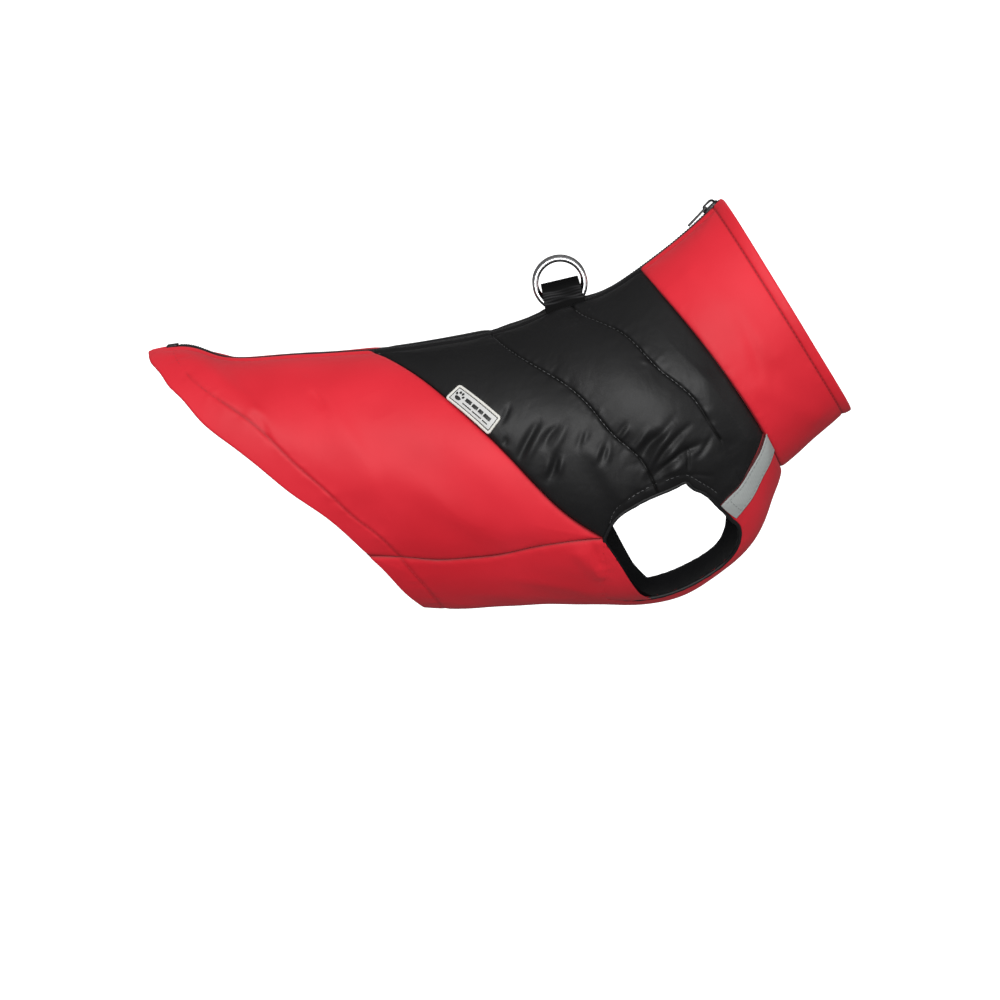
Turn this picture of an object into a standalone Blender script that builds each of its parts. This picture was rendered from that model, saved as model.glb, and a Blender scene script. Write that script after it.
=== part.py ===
"""A dog's padded winter coat, worn: two rear panels, two quilted side panels, an under panel, a neck panel,
edged armholes, reflective strips, a back zip, two leash rings in webbing loops, and a label patch.

Frame: +X to the dog's head, +Y to its left, +Z up, in metres. The origin lies on the dog's back at the
withers, against the coat's inner face. Sizes below are in millimetres and degrees.

The coat's form is a row of slanting rings. A ring's station runs from 0 at the hem through 3 at the rear
seam, 4 and 5 at the quilt lines and 6 at the neck seam to 8 at the collar's edge. A place on the coat is
given by x and by its turn: 0 degrees is the middle of the back, 90 the right side, 180 the middle of the
belly and 270 the left side.
"""

import math

import bmesh
import bpy
from mathutils import Matrix, Vector

MM = 0.001

# ---------------------------------------------------------------- the coat's form

NECK_STATION = 6.0
COLLAR_STATION = 8.0

# station, back_x, back_z, belly_x, belly_z, half_width, fullness (wider above), bow (to the head, mid ring)
RINGS = (
    (0.0, -278.0, -33.0, -110.0, -195.5, 60.0, 0.10, 9.0),
    (0.4, -257.0, -29.8, -91.0, -194.8, 61.0, 0.09, 8.0),
    (1.0, -235.0, -36.3, -62.0, -193.6, 63.0, 0.08, 7.0),
    (2.0, -190.0, -35.6, -6.0, -191.2, 68.0, 0.05, 8.0),
    (3.0, -141.0, -32.8, 46.0, -188.0, 73.0, 0.02, 9.0),
    (4.0, -68.7, -22.0, 91.0, -156.0, 76.0, 0.00, 9.0),
    (5.0, -22.0, -5.3, 106.0, -123.5, 72.0, 0.00, 11.0),
    (5.5, 1.2, 3.4, 109.8, -113.5, 67.5, 0.00, 9.0),
    (6.0, 23.0, 17.6, 112.0, -105.0, 62.0, 0.00, 6.0),
)
NECK_RINGS = (
    (6.0, 23.0, 17.6, 112.0, -105.0, 62.0, 0.00, 6.0),
    (7.0, 48.0, 37.2, 131.5, -84.6, 57.0, 0.00, 1.6),
    (8.0, 72.6, 60.2, 154.0, -68.0, 54.0, 0.00, -1.0),
)

# ---------------------------------------------------------------- seams and edges, as (x, turn) on the right

SEAM_GAP = 0.3
HEM_START_X = -278.6
REAR_SEAM_X = -141.0
QUILT_A_X = -68.7
QUILT_B_X = -22.0
NECK_SEAM_X = 23.3
COLLAR_X = 72.7

HEM = ((-275.0, 17.5), (-267.6, 28.8), (-261.9, 37.4), (-254.0, 45.1), (-241.3, 57.9), (-222.6, 70.2),
       (-204.3, 81.5), (-186.8, 92.4), (-165.7, 103.6), (-150.0, 115.1), (-142.5, 121.4))
BELLY_HEM = ((-142.5, 121.4), (-134.9, 128.2), (-121.6, 145.4), (-113.0, 161.1), (-110.0, 180.0))
REAR_SEAM = ((-127.4, 18.0), (-113.5, 31.0), (-95.2, 47.4), (-78.4, 61.0), (-62.5, 73.3), (-44.8, 87.3),
             (-26.9, 100.4), (-14.9, 107.6), (-1.0, 115.0))
QUILT_A = ((-60.1, 22.9), (-36.4, 46.0), (-9.6, 68.0), (3.8, 80.9), (21.6, 94.5), (30.9, 106.8))
QUILT_B = ((-13.1, 21.2), (10.4, 45.5), (30.8, 69.4), (51.3, 87.7), (61.0, 100.1), (71.1, 112.3),
           (81.2, 128.7))
SIDE_SEAM = ((-142.5, 121.4), (-118.2, 122.2), (-97.6, 122.5), (-78.8, 121.9), (-60.1, 120.6),
             (-38.5, 116.1), (-21.8, 114.0), (-5.8, 114.4), (-1.0, 115.0))
ARMHOLE_REAR_TOP = ((-1.0, 115.0), (2.4, 110.8), (7.3, 108.1), (15.1, 106.8), (23.3, 106.4), (30.9, 106.8))
ARMHOLE_TOP = ((30.9, 106.8), (38.2, 107.6), (43.3, 108.2), (47.6, 109.0))
ARMHOLE_FRONT_TOP = ((47.6, 109.0), (51.9, 112.4), (57.3, 116.0), (62.8, 120.3), (68.9, 126.4))
ARMHOLE_LOW = ((-1.0, 115.0), (-1.0, 119.5), (1.2, 127.4), (1.6, 131.3), (1.1, 137.8), (1.2, 147.1),
               (5.0, 155.0), (16.0, 159.3), (34.0, 160.5), (54.0, 161.0), (70.0, 161.8), (79.2, 160.9),
               (83.7, 156.8), (85.0, 151.8), (84.8, 148.1), (83.1, 143.4), (79.0, 137.9), (74.3, 132.2),
               (68.9, 126.4))
FRONT_SEAM_LOW = ((68.9, 126.4), (72.6, 126.7), (76.7, 127.6), (81.2, 128.7))
FRONT_SEAM_HIGH = ((81.2, 128.7), (86.6, 128.6), (92.1, 126.9), (96.3, 124.1))
STRIP_FRONT_EDGE = ((79.5, 137.6), (85.0, 137.9), (90.6, 138.4), (96.6, 137.0), (102.4, 136.9))
UNDER_MIDDLE_X = (-110.0, 34.0, 78.0, 108.5, 112.5)  # hem, armhole's rear corner, its front, its tip, neck seam

# Steps along each stretch; two pieces that meet share them.
STEPS_AROUND = 14
STEPS_REAR = 14
STEPS_CHANNEL_1 = 5
STEPS_ARMHOLE_TOP = 3
STEPS_ARMHOLE_FRONT_TOP = 4
STEPS_FRONT_SEAM_LOW = 2
STEPS_FRONT_SEAM_HIGH = 4
STEPS_ARMHOLE_LOW_REAR = 9
STEPS_ARMHOLE_LOW_FRONT = 7
STEPS_UNDER_HALF = 8
STEPS_NECK = 6

# ---------------------------------------------------------------- cloth

WALL = 2.4           # outer cloth, padding and lining at a seam
PUFF_RED = 1.5       # how far the padding lifts the outer cloth between seams
PUFF_UNDER = 1.1
PUFF_CHANNEL = 2.6
PUFF_NECK = 1.6
PUFF_REACH = 20.0    # distance from a seam at which the padding is full
COLLAR_BAND = 5.5     # depth of the collar's turned edge
COLLAR_DEPTH = 48.0   # neck seam to the collar's edge

# panel, side, from_x, from_turn, to_x, to_turn, half_width, height
FOLDS = (
    ("rear", "right", -205.0, 48.0, -150.0, 86.0, 13.0, 1.2),
    ("rear", "left", -214.0, 52.0, -146.0, 80.0, 14.0, 1.1),
    ("rear", "both", -128.0, 80.0, -60.0, 108.0, 12.0, 1.3),
    ("side", "right", -8.0, 84.0, 12.0, 104.0, 6.0, 1.5),
    ("side", "right", 34.0, 90.0, 42.0, 104.0, 6.0, 1.6),
    ("side", "left", -4.0, 86.0, 14.0, 103.0, 6.0, 1.5),
    ("side", "left", 37.0, 88.0, 41.0, 104.0, 6.5, 1.5),
    ("side", "both", 58.0, 84.0, 66.0, 112.0, 7.0, 1.2),
    ("neck", "right", 52.0, 40.0, 98.0, 96.0, 8.0, 1.2),
    ("neck", "left", 48.0, 44.0, 96.0, 92.0, 8.0, 1.1),
    ("neck", "both", 92.0, 104.0, 128.0, 142.0, 7.0, 1.0),
    ("under", "both", -14.0, 120.0, -2.0, 132.0, 5.0, 1.4),
)

# ---------------------------------------------------------------- trim and hardware

EDGING_RADIUS = 1.05
STRIP_THICK = 0.6
STRIP_STOPS = (0.02, 0.5, 1.0)  # across the strip, as shares from the front seam
STRIP_INSET = 0.6
LAID_ON_GAP = 0.35   # what lies on a panel clears it by this

LABEL_LOW = ((-95.0, 48.5), (-69.2, 67.7))   # the long edge beside the rear seam, from tail to head
LABEL_HIGH = ((-85.9, 43.9), (-61.0, 62.0))  # the other long edge
LABEL_LENGTH_STOPS = (0.0, 0.05, 0.275, 0.5, 0.725, 0.95, 1.0)
LABEL_WIDTH_STOPS = (0.0, 0.12, 0.5, 0.88, 1.0)
LABEL_THICK = 1.0
LABEL_BORDER_RISE = 0.4

ZIP_HALF_OPENING = 6.2
TAPE_INNER_Y = 2.95
TAPE_THICK = 1.0
TAPE_DROP = 0.5
CHAIN_HALF_WIDTH = 2.6
CHAIN_RISE = 0.9
CHAIN_DROP = 1.6
ZIP_STEPS = 34
END_BOX = (7.0, 7.0, 1.6)
END_BOX_X = -264.0
CHAIN_START_X = -260.0
CHAIN_END_X = 71.0
TAPE_START_X = -275.0
TAPE_END_X = 72.0

SLIDER_X = 66.4
SLIDER_LENGTH = 11.0
SLIDER_WIDTH = 8.2
SLIDER_PLATE = 0.9
BRIDGE_WIRE = 0.55
BRIDGE_LENGTH = 7.4
BRIDGE_RISE = 2.9
PULL_LENGTH = 16.0
PULL_WIDTH = 5.2
PULL_THICK = 1.0
PULL_EYE = (4.2, 2.9)
PULL_BAR = 0.6
PULL_AXIS_RISE = 1.0
PULL_DROOP = 3.0

RING_RADIUS = 15.0
RING_WIRE = 1.9
RING_BAR_BELOW = 11.2
RING_X = -23.4
RING_Y = 9.0
RING_CENTRE_RISE = 16.2
RING_SLOPE = 13.3
RING_LEAN = 11.0
LOOP_WIDTH = 25.0
LOOP_TOP_WIDTH = 23.2
LOOP_THICK = 1.4
LOOP_INSIDE = 5.6
LOOP_OVER_BAR = 11.9
LOOP_FOOT_GAP = 0.35


# ---------------------------------------------------------------- splines and rings

class Spline:
    """A natural cubic spline through rows, each of a knot and its values."""

    def __init__(self, rows):
        self.knots = [row[0] for row in rows]
        self.rows = [row[1:] for row in rows]
        columns = [self.second(list(column)) for column in zip(*self.rows)]
        self.bends = list(zip(*columns))

    def second(self, values):
        """The second derivatives at the knots, zero at both ends."""
        knots, last = self.knots, len(self.knots) - 1
        sweep, bend = [0.0] * (last + 1), [0.0] * (last + 1)
        for i in range(1, last):
            before, after = knots[i] - knots[i - 1], knots[i + 1] - knots[i]
            slope = (values[i + 1] - values[i]) / after - (values[i] - values[i - 1]) / before
            share = before / (before + after)
            pivot = share * sweep[i - 1] + 2
            sweep[i] = (share - 1) / pivot
            bend[i] = (6 * slope / (before + after) - share * bend[i - 1]) / pivot
        for i in range(last - 1, -1, -1):
            bend[i] += sweep[i] * bend[i + 1]
        return bend

    def at(self, knot):
        i = 0
        while i < len(self.knots) - 2 and knot > self.knots[i + 1]:
            i += 1
        span = self.knots[i + 1] - self.knots[i]
        b = (knot - self.knots[i]) / span
        a = 1 - b
        ca, cb = (a ** 3 - a) * span ** 2 / 6, (b ** 3 - b) * span ** 2 / 6
        return [a * p + b * q + ca * m + cb * n for p, q, m, n
                in zip(self.rows[i], self.rows[i + 1], self.bends[i], self.bends[i + 1])]


BODY_SPLINE = Spline(RINGS)
NECK_SPLINE = Spline(NECK_RINGS)


def ring_point(station, turn):
    """The point of the coat's form on a ring, in mm."""
    spline = BODY_SPLINE if station < NECK_STATION else NECK_SPLINE
    back_x, back_z, belly_x, belly_z, half_width, fullness, bow = spline.at(station)
    angle = math.radians(turn)
    down = (1 - math.cos(angle)) / 2
    run_x, run_z = belly_x - back_x, belly_z - back_z
    lean = bow * 4 * down * (1 - down) / math.hypot(run_x, run_z)
    return Vector((back_x + run_x * down - run_z * lean,
                   -half_width * math.sin(angle) * (1 + fullness * math.cos(angle)),
                   back_z + run_z * down + run_x * lean))


def station_at(x, turn):
    """The station of the ring that passes x at this turn."""
    low, high = -0.8, COLLAR_STATION + 0.4
    for _ in range(34):
        middle = (low + high) / 2
        if ring_point(middle, turn).x < x:
            low = middle
        else:
            high = middle
    return (low + high) / 2


def outward(station, turn):
    """The unit normal, taken across 4 mm or so, so that it turns smoothly over the neck seam."""
    along = ring_point(station + 0.1, turn) - ring_point(station - 0.1, turn)
    around = ring_point(station, turn + 2) - ring_point(station, turn - 2)
    return around.cross(along).normalized()


def spot(x, turn):
    """A place on the coat: its point and its outward normal, in mm."""
    station = station_at(x, turn)
    return ring_point(station, turn), outward(station, turn)


def turn_beside_zip(x, distance):
    """The turn on the right side whose point lies this far from the middle of the back."""
    turn = 5.0
    for _ in range(3):
        reach = abs(ring_point(station_at(x, turn), 90).y)
        turn = math.degrees(math.asin(distance / reach))
        turn *= distance / abs(ring_point(station_at(x, turn), turn).y)
    return turn


def along(rows, steps):
    """Places at equal steps on a smooth line through rows of (x, turn)."""
    mm_per_degree = 1.25
    knots = [0.0]
    for (x0, t0), (x1, t1) in zip(rows, rows[1:]):
        knots.append(knots[-1] + math.hypot(x1 - x0, (t1 - t0) * mm_per_degree))
    line = Spline([(knot, x, turn) for knot, (x, turn) in zip(knots, rows)])
    return [tuple(line.at(knots[-1] * i / steps)) for i in range(steps + 1)]


def beside_zip(start_x, end_x, steps, distance=ZIP_HALF_OPENING):
    """Places at equal steps along the zip's opening."""
    stops = [start_x + (end_x - start_x) * i / steps for i in range(steps + 1)]
    return [(x, turn_beside_zip(x, distance)) for x in stops]


def from_zip(x, rows, steps):
    """A line that starts at the zip's opening."""
    return along(beside_zip(x, x, 1)[:1] + list(rows), steps)


def round_ring(station, turns):
    return [(ring_point(station, turn).x, turn) for turn in turns]


def steps_between(start, end, steps):
    return [start + (end - start) * i / steps for i in range(steps + 1)]


# ---------------------------------------------------------------- shared seam lines

hem_line = from_zip(HEM_START_X, HEM, STEPS_AROUND)
rear_seam = from_zip(REAR_SEAM_X, REAR_SEAM, STEPS_AROUND)
quilt_a = from_zip(QUILT_A_X, QUILT_A, STEPS_AROUND)
quilt_b = from_zip(QUILT_B_X, QUILT_B, STEPS_AROUND)
side_seam = along(SIDE_SEAM, STEPS_REAR)
armhole_rear_top = along(ARMHOLE_REAR_TOP, STEPS_CHANNEL_1)
armhole_top = along(ARMHOLE_TOP, STEPS_ARMHOLE_TOP)
armhole_front_top = along(ARMHOLE_FRONT_TOP, STEPS_ARMHOLE_FRONT_TOP)
armhole_low = along(ARMHOLE_LOW, STEPS_ARMHOLE_LOW_REAR + STEPS_ARMHOLE_LOW_FRONT)
front_seam_low = along(FRONT_SEAM_LOW, STEPS_FRONT_SEAM_LOW)
front_seam_high = along(FRONT_SEAM_HIGH, STEPS_FRONT_SEAM_HIGH)
front_seam = front_seam_low + front_seam_high[1:]
armhole_loop = (armhole_rear_top + armhole_top[1:] + armhole_front_top[1:]
                + armhole_low[-2:0:-1])

corner_turn = FRONT_SEAM_HIGH[-1][1]
neck_turns_side = steps_between(turn_beside_zip(NECK_SEAM_X, ZIP_HALF_OPENING), corner_turn, STEPS_AROUND)
neck_turns_under = steps_between(corner_turn, 180.0, STEPS_UNDER_HALF)
neck_seam_side = round_ring(NECK_STATION, neck_turns_side)
neck_seam_under = round_ring(NECK_STATION, neck_turns_under)
front_seam_high[-1] = front_seam[-1] = neck_seam_side[-1]


# ---------------------------------------------------------------- sheets of places

def blended(start, end, first, last):
    """A grid of places between two opposite lines, start and end, and two cross lines, first and last."""
    rows, columns = len(start) - 1, len(first) - 1
    grid = []
    for i in range(rows + 1):
        a = i / rows
        line = []
        for j in range(columns + 1):
            b = j / columns
            place = []
            for k in (0, 1):
                ruled = (1 - b) * start[i][k] + b * end[i][k] + (1 - a) * first[j][k] + a * last[j][k]
                corners = ((1 - a) * ((1 - b) * start[0][k] + b * end[0][k])
                           + a * ((1 - b) * start[-1][k] + b * end[-1][k]))
                place.append(ruled - corners)
            line.append(tuple(place))
        grid.append(line)
    return grid


def mirrored(grid):
    return [[(x, 360 - turn) for x, turn in line] for line in grid]


def distance_to_line(point, line):
    """The shortest distance from a point to a line of points."""
    best = math.inf
    for start, end in zip(line, line[1:]):
        run = end - start
        share = max(0.0, min(1.0, (point - start).dot(run) / max(run.length_squared, 1e-9)))
        best = min(best, (point - start - run * share).length)
    return best


def points_of(places):
    return [spot(x, turn)[0] for x, turn in places]


def puffed(point, sewn_lines, height):
    """How far the padding lifts the cloth at a point between sewn lines."""
    near = min(distance_to_line(point, line) for line in sewn_lines)
    rise = 1 - min(near / PUFF_REACH, 1)
    return height * (1 - rise ** 2)


def folded(point, panel, side):
    """How far the panel's folds lift the cloth at a point."""
    lift = 0.0
    for name, where, x0, t0, x1, t1, half_width, height in FOLDS:
        if name == panel and where in ("both", side):
            ends = [(x0, t0), (x1, t1)]
            if side == "left":
                ends = [(x, 360 - turn) for x, turn in ends]
            near = distance_to_line(point, points_of(ends))
            lift += height * math.exp(-(near / half_width) ** 2)
    return lift


# ---------------------------------------------------------------- bodies from sheets

def new_object(name, bm, material):
    """An object from a bmesh in mm, with its faces turned outwards."""
    bmesh.ops.recalc_face_normals(bm, faces=bm.faces)
    if bm.calc_volume(signed=True) < 0:
        bmesh.ops.reverse_faces(bm, faces=bm.faces)
    bmesh.ops.scale(bm, vec=(MM, MM, MM), verts=bm.verts)
    mesh = bpy.data.meshes.new(name)
    bm.to_mesh(mesh)
    bm.free()
    mesh.shade_smooth()
    mesh.set_sharp_from_angle(angle=math.radians(40))
    obj = bpy.data.objects.new(name, mesh)
    obj.data.materials.append(material)
    coat.objects.link(obj)
    return obj


def inset_border(layer, amount):
    """Draws a sheet's border points in from the seam, square to it."""
    rows, columns = len(layer), len(layer[0])
    moved = [line[:] for line in layer]
    for i in range(rows):
        for j in range(columns):
            push = Vector()
            if i in (0, rows - 1):
                inner = layer[1 if i == 0 else rows - 2][j] - layer[i][j]
                run = layer[i][min(j + 1, columns - 1)] - layer[i][max(j - 1, 0)]
                push += (inner - run * (inner.dot(run) / run.length_squared)).normalized()
            if j in (0, columns - 1):
                inner = layer[i][1 if j == 0 else columns - 2] - layer[i][j]
                run = layer[min(i + 1, rows - 1)][j] - layer[max(i - 1, 0)][j]
                push += (inner - run * (inner.dot(run) / run.length_squared)).normalized()
            moved[i][j] = layer[i][j] + push * amount
    return moved


def wall(name, outer, inner, material, gap=SEAM_GAP / 2):
    """A closed sheet between two layers of points."""
    outer, inner = inset_border(outer, gap), inset_border(inner, gap)
    columns = len(outer[0])
    bm = bmesh.new()
    bmesh.ops.create_grid(bm, x_segments=columns - 1, y_segments=len(outer) - 1, size=1)
    place = bm.verts.layers.int.new("place")
    bm.verts.ensure_lookup_table()
    for index, vert in enumerate(bm.verts):
        vert[place] = index
    first = list(bm.verts)
    made = bmesh.ops.extrude_face_region(bm, geom=bm.faces[:])["geom"]
    second = [item for item in made if isinstance(item, bmesh.types.BMVert)]
    for verts, layer in ((first, outer), (second, inner)):
        for vert in verts:
            vert.co = layer[vert[place] // columns][vert[place] % columns]
    return new_object(name, bm, material)


def cloth(name, grid, material, lift, depth=WALL):
    """A padded wall on a grid of places: lift(point) raises its outer face, its inner face stays plain."""
    spots = [[spot(x, turn) for x, turn in line] for line in grid]
    outer = [[point + normal * lift(point) for point, normal in line] for line in spots]
    inner = [[point - normal * depth for point, normal in line] for line in spots]
    return wall(name, outer, inner, material)


def tube(name, points, radius, material, resolution):
    """A closed round tube through points."""
    curve = bpy.data.curves.new(name, "CURVE")
    curve.dimensions = "3D"
    curve.bevel_depth = radius * MM
    curve.bevel_resolution = resolution
    spline = curve.splines.new("POLY")
    spline.points.add(len(points) - 1)
    for knot, point in zip(spline.points, points):
        knot.co = (point * MM).to_4d()
    spline.use_cyclic_u = True
    obj = bpy.data.objects.new(name, curve)
    curve.materials.append(material)
    coat.objects.link(obj)
    return obj


def material_of(name, colour, roughness, metallic=0.0):
    material = bpy.data.materials.new(name)
    material.use_nodes = True
    shader = material.node_tree.nodes["Principled BSDF"]
    shader.inputs["Base Color"].default_value = (*colour, 1)
    shader.inputs["Roughness"].default_value = roughness
    shader.inputs["Metallic"].default_value = metallic
    material.diffuse_color = (*colour, 1)
    return material


# ---------------------------------------------------------------- cloth panels

def sewn_points(*lines, side="right"):
    """Sewn lines as points, turned to the left side where asked."""
    if side == "left":
        lines = [[(x, 360 - turn) for x, turn in line] for line in lines]
    return [points_of(line) for line in lines]


def build_rear_panel(side, material):
    zip_edge = beside_zip(HEM_START_X, REAR_SEAM_X, STEPS_REAR)
    grid = blended(hem_line, rear_seam, zip_edge, side_seam)
    sewn = sewn_points(hem_line, rear_seam, zip_edge, side_seam, side=side)
    if side == "left":
        grid = mirrored(grid)
    cloth("rear_panel_" + side, grid, material,
          lambda point: puffed(point, sewn, PUFF_RED) + folded(point, "rear", side))


def side_panel_grid():
    """The side panel's three channels, joined at the quilt lines."""
    lower_2 = armhole_top + armhole_front_top[1:] + front_seam_low[1:]
    channels = (
        (rear_seam, quilt_a, REAR_SEAM_X, QUILT_A_X, armhole_rear_top),
        (quilt_a, quilt_b, QUILT_A_X, QUILT_B_X, lower_2),
        (quilt_b, neck_seam_side, QUILT_B_X, NECK_SEAM_X, front_seam_high),
    )
    grid = []
    for start, end, start_x, end_x, lower in channels:
        part = blended(start, end, beside_zip(start_x, end_x, len(lower) - 1), lower)
        grid = [old + new[1:] for old, new in zip(grid, part)] if grid else part
    return grid


def side_panel_sewn(side):
    armhole = armhole_rear_top + armhole_top[1:] + armhole_front_top[1:]
    zip_edge = beside_zip(REAR_SEAM_X, NECK_SEAM_X, STEPS_REAR)
    return sewn_points(rear_seam, quilt_a, quilt_b, neck_seam_side, armhole, front_seam, zip_edge, side=side)


def build_side_panel(side, material):
    grid = side_panel_grid()
    sewn = side_panel_sewn(side)
    if side == "left":
        grid = mirrored(grid)
    cloth("side_panel_" + side, grid, material,
          lambda point: puffed(point, sewn, PUFF_CHANNEL) + folded(point, "side", side))


def under_panel_sewn():
    lines = (side_seam, armhole_low, front_seam, neck_seam_under, along(BELLY_HEM, STEPS_UNDER_HALF))
    return sewn_points(*lines) + sewn_points(*lines, side="left")


def under_lift(point, sewn):
    side = "right" if point.y < 0 else "left"
    return puffed(point, sewn, PUFF_UNDER) + folded(point, "under", side)


def build_under_panel(material):
    """Half of the panel from the middle of the belly to its edge, then its mirror image beside it."""
    edge = side_seam + armhole_low[1:] + front_seam[1:]
    stops = UNDER_MIDDLE_X
    stretches = (STEPS_REAR, STEPS_ARMHOLE_LOW_REAR, STEPS_ARMHOLE_LOW_FRONT, len(front_seam) - 1)
    middle = [(stops[0], 180.0)]
    for start, end, steps in zip(stops, stops[1:], stretches):
        middle += [(x, 180.0) for x in steps_between(start, end, steps)[1:]]
    hem = along(BELLY_HEM, STEPS_UNDER_HALF)
    right = blended(middle, edge, hem[::-1], neck_seam_under[::-1])
    left = mirrored(right)
    grid = [line[:0:-1] + other for line, other in zip(right, left)]
    sewn = under_panel_sewn()
    cloth("under_panel", grid, material, lambda point: under_lift(point, sewn))


def build_neck_panel(material):
    right = neck_turns_side + neck_turns_under[1:]
    turns = right + [360 - turn for turn in right[-2::-1]]
    collar_start = turn_beside_zip(COLLAR_X, ZIP_HALF_OPENING)
    grid = []
    for station in steps_between(NECK_STATION, COLLAR_STATION, STEPS_NECK):
        share = (station - NECK_STATION) / (COLLAR_STATION - NECK_STATION)
        first = turns[0] + (collar_start - turns[0]) * share
        stretch = (180 - first) / (180 - turns[0])
        grid.append(round_ring(station, [180 + (turn - 180) * stretch for turn in turns]))
    band = (COLLAR_STATION - NECK_STATION) * COLLAR_BAND / COLLAR_DEPTH
    sewn = [points_of(grid[0]), points_of(round_ring(COLLAR_STATION - band, turns))]
    sewn += [points_of([line[end] for line in grid]) for end in (0, -1)]

    def lift(point):
        side = "right" if point.y < 0 else "left"
        return puffed(point, sewn, PUFF_NECK) + folded(point, "neck", side)

    cloth("neck_panel", grid, material, lift)


def build_edging(side, material):
    """The rolled edge round an armhole, a tube just inside the hole."""
    places = armhole_loop if side == "right" else [(x, 360 - turn) for x, turn in armhole_loop]
    spots = [spot(x, turn) for x, turn in places]
    centre = sum((point for point, _ in spots), Vector()) / len(spots)
    path = []
    for i, (point, normal) in enumerate(spots):
        run = spots[(i + 1) % len(spots)][0] - spots[i - 1][0]
        into = run.cross(normal).normalized()
        if into.dot(centre - point) < 0:
            into = -into
        path.append(point - normal * WALL / 2 + into * (EDGING_RADIUS + SEAM_GAP))
    tube("armhole_edging_" + side, path, EDGING_RADIUS, material, 1)


def build_strip(side, material):
    """The reflective strip on the chest, from the armhole's edge up to the neck seam."""
    rows = len(front_seam) - 1
    inner_edge = front_seam
    outer_edge = along(STRIP_FRONT_EDGE, rows)
    grid = [[tuple((1 - b) * p + b * q for p, q in zip(near, far)) for b in STRIP_STOPS]
            for near, far in zip(inner_edge, outer_edge)]
    if side == "left":
        grid = mirrored(grid)
    sewn = under_panel_sewn()
    spots = [[spot(x, turn) for x, turn in line] for line in grid]
    lifts = [[under_lift(point, sewn) + LAID_ON_GAP for point, _ in line] for line in spots]
    below = [[p + n * h for (p, n), h in zip(line, row)] for line, row in zip(spots, lifts)]
    above = [[p + n * (h + STRIP_THICK) for (p, n), h in zip(line, row)] for line, row in zip(spots, lifts)]
    wall("reflective_strip_" + side, above, below, material, gap=STRIP_INSET)


def build_label(material):
    """The moulded patch: a thin plate with a raised border, on the right side panel by the rear seam."""
    sewn = side_panel_sewn("right")
    below, above = [], []
    for width in LABEL_WIDTH_STOPS:
        low_line, high_line = [], []
        for length in LABEL_LENGTH_STOPS:
            ends = [[(1 - width) * low + width * high for low, high in zip(*pair)]
                    for pair in zip(LABEL_LOW, LABEL_HIGH)]
            point, out = spot(*[(1 - length) * rear + length * front for rear, front in zip(*ends)])
            lift = puffed(point, sewn, PUFF_CHANNEL) + folded(point, "side", "right") + LAID_ON_GAP
            border = width in (0.0, 1.0) or length in (0.0, 1.0)
            low_line.append(point + out * lift)
            high_line.append(point + out * (lift + LABEL_THICK + LABEL_BORDER_RISE * border))
        below.append(low_line)
        above.append(high_line)
    wall("label_patch", above, below, material, gap=0.0)


# ---------------------------------------------------------------- zip

def zip_strip(name, start_x, end_x, stops, material, steps=ZIP_STEPS):
    """A strip along the middle of the back; stops are (y, top, bottom), the lifts from the coat's form."""
    above, below = [], []
    for i in range(steps + 1):
        x = start_x + (end_x - start_x) * i / steps
        high_line, low_line = [], []
        for y, top, bottom in stops:
            turn = math.copysign(turn_beside_zip(x, abs(y)), -y) if abs(y) > 1e-6 else 0.0
            point, normal = spot(x, turn)
            high_line.append(point + normal * top)
            low_line.append(point + normal * bottom)
        above.append(high_line)
        below.append(low_line)
    return wall(name, above, below, material, gap=0.0)


def zip_frame(x, lift):
    """A frame on the zip: its x along the zip to the head, y to the left, z outwards."""
    point, normal = spot(x, 0.0)
    side = Vector((0, 1, 0))
    forward = side.cross(normal).normalized()
    turned = Matrix((forward, side, normal)).transposed().to_4x4()
    return Matrix.Translation(point + normal * lift) @ turned


def bevelled_box(size, radius, segments=2):
    bm = bmesh.new()
    bmesh.ops.create_cube(bm, size=1)
    bmesh.ops.scale(bm, vec=size, verts=bm.verts)
    bmesh.ops.bevel(bm, geom=bm.edges[:], offset=radius, segments=segments, profile=0.5, affect="EDGES",
                    material=-1, clamp_overlap=True)
    return bm


def build_zip(tape_material, metal):
    tape_outer_y = ZIP_HALF_OPENING - SEAM_GAP
    tape = [(TAPE_INNER_Y, -TAPE_DROP, -TAPE_DROP - TAPE_THICK),
            (tape_outer_y, -TAPE_DROP, -TAPE_DROP - TAPE_THICK)]
    for side, sign in (("left", 1), ("right", -1)):
        stops = [(sign * y, top, bottom) for y, top, bottom in tape]
        zip_strip("zip_tape_" + side, TAPE_START_X, TAPE_END_X, stops, tape_material)
    half = CHAIN_HALF_WIDTH
    chain = [(-half, 0.3, -CHAIN_DROP), (-half * 0.6, CHAIN_RISE - 0.1, -CHAIN_DROP),
             (0.0, CHAIN_RISE, -CHAIN_DROP), (half * 0.6, CHAIN_RISE - 0.1, -CHAIN_DROP),
             (half, 0.3, -CHAIN_DROP)]
    zip_strip("zip_chain", CHAIN_START_X, CHAIN_END_X, chain, tape_material)
    box = bevelled_box(END_BOX, 0.6)
    bmesh.ops.transform(box, matrix=zip_frame(END_BOX_X, END_BOX[2] / 2 - 0.15), verts=box.verts)
    new_object("zip_end_box", box, tape_material)
    build_slider(metal)
    build_pull(metal)


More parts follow.
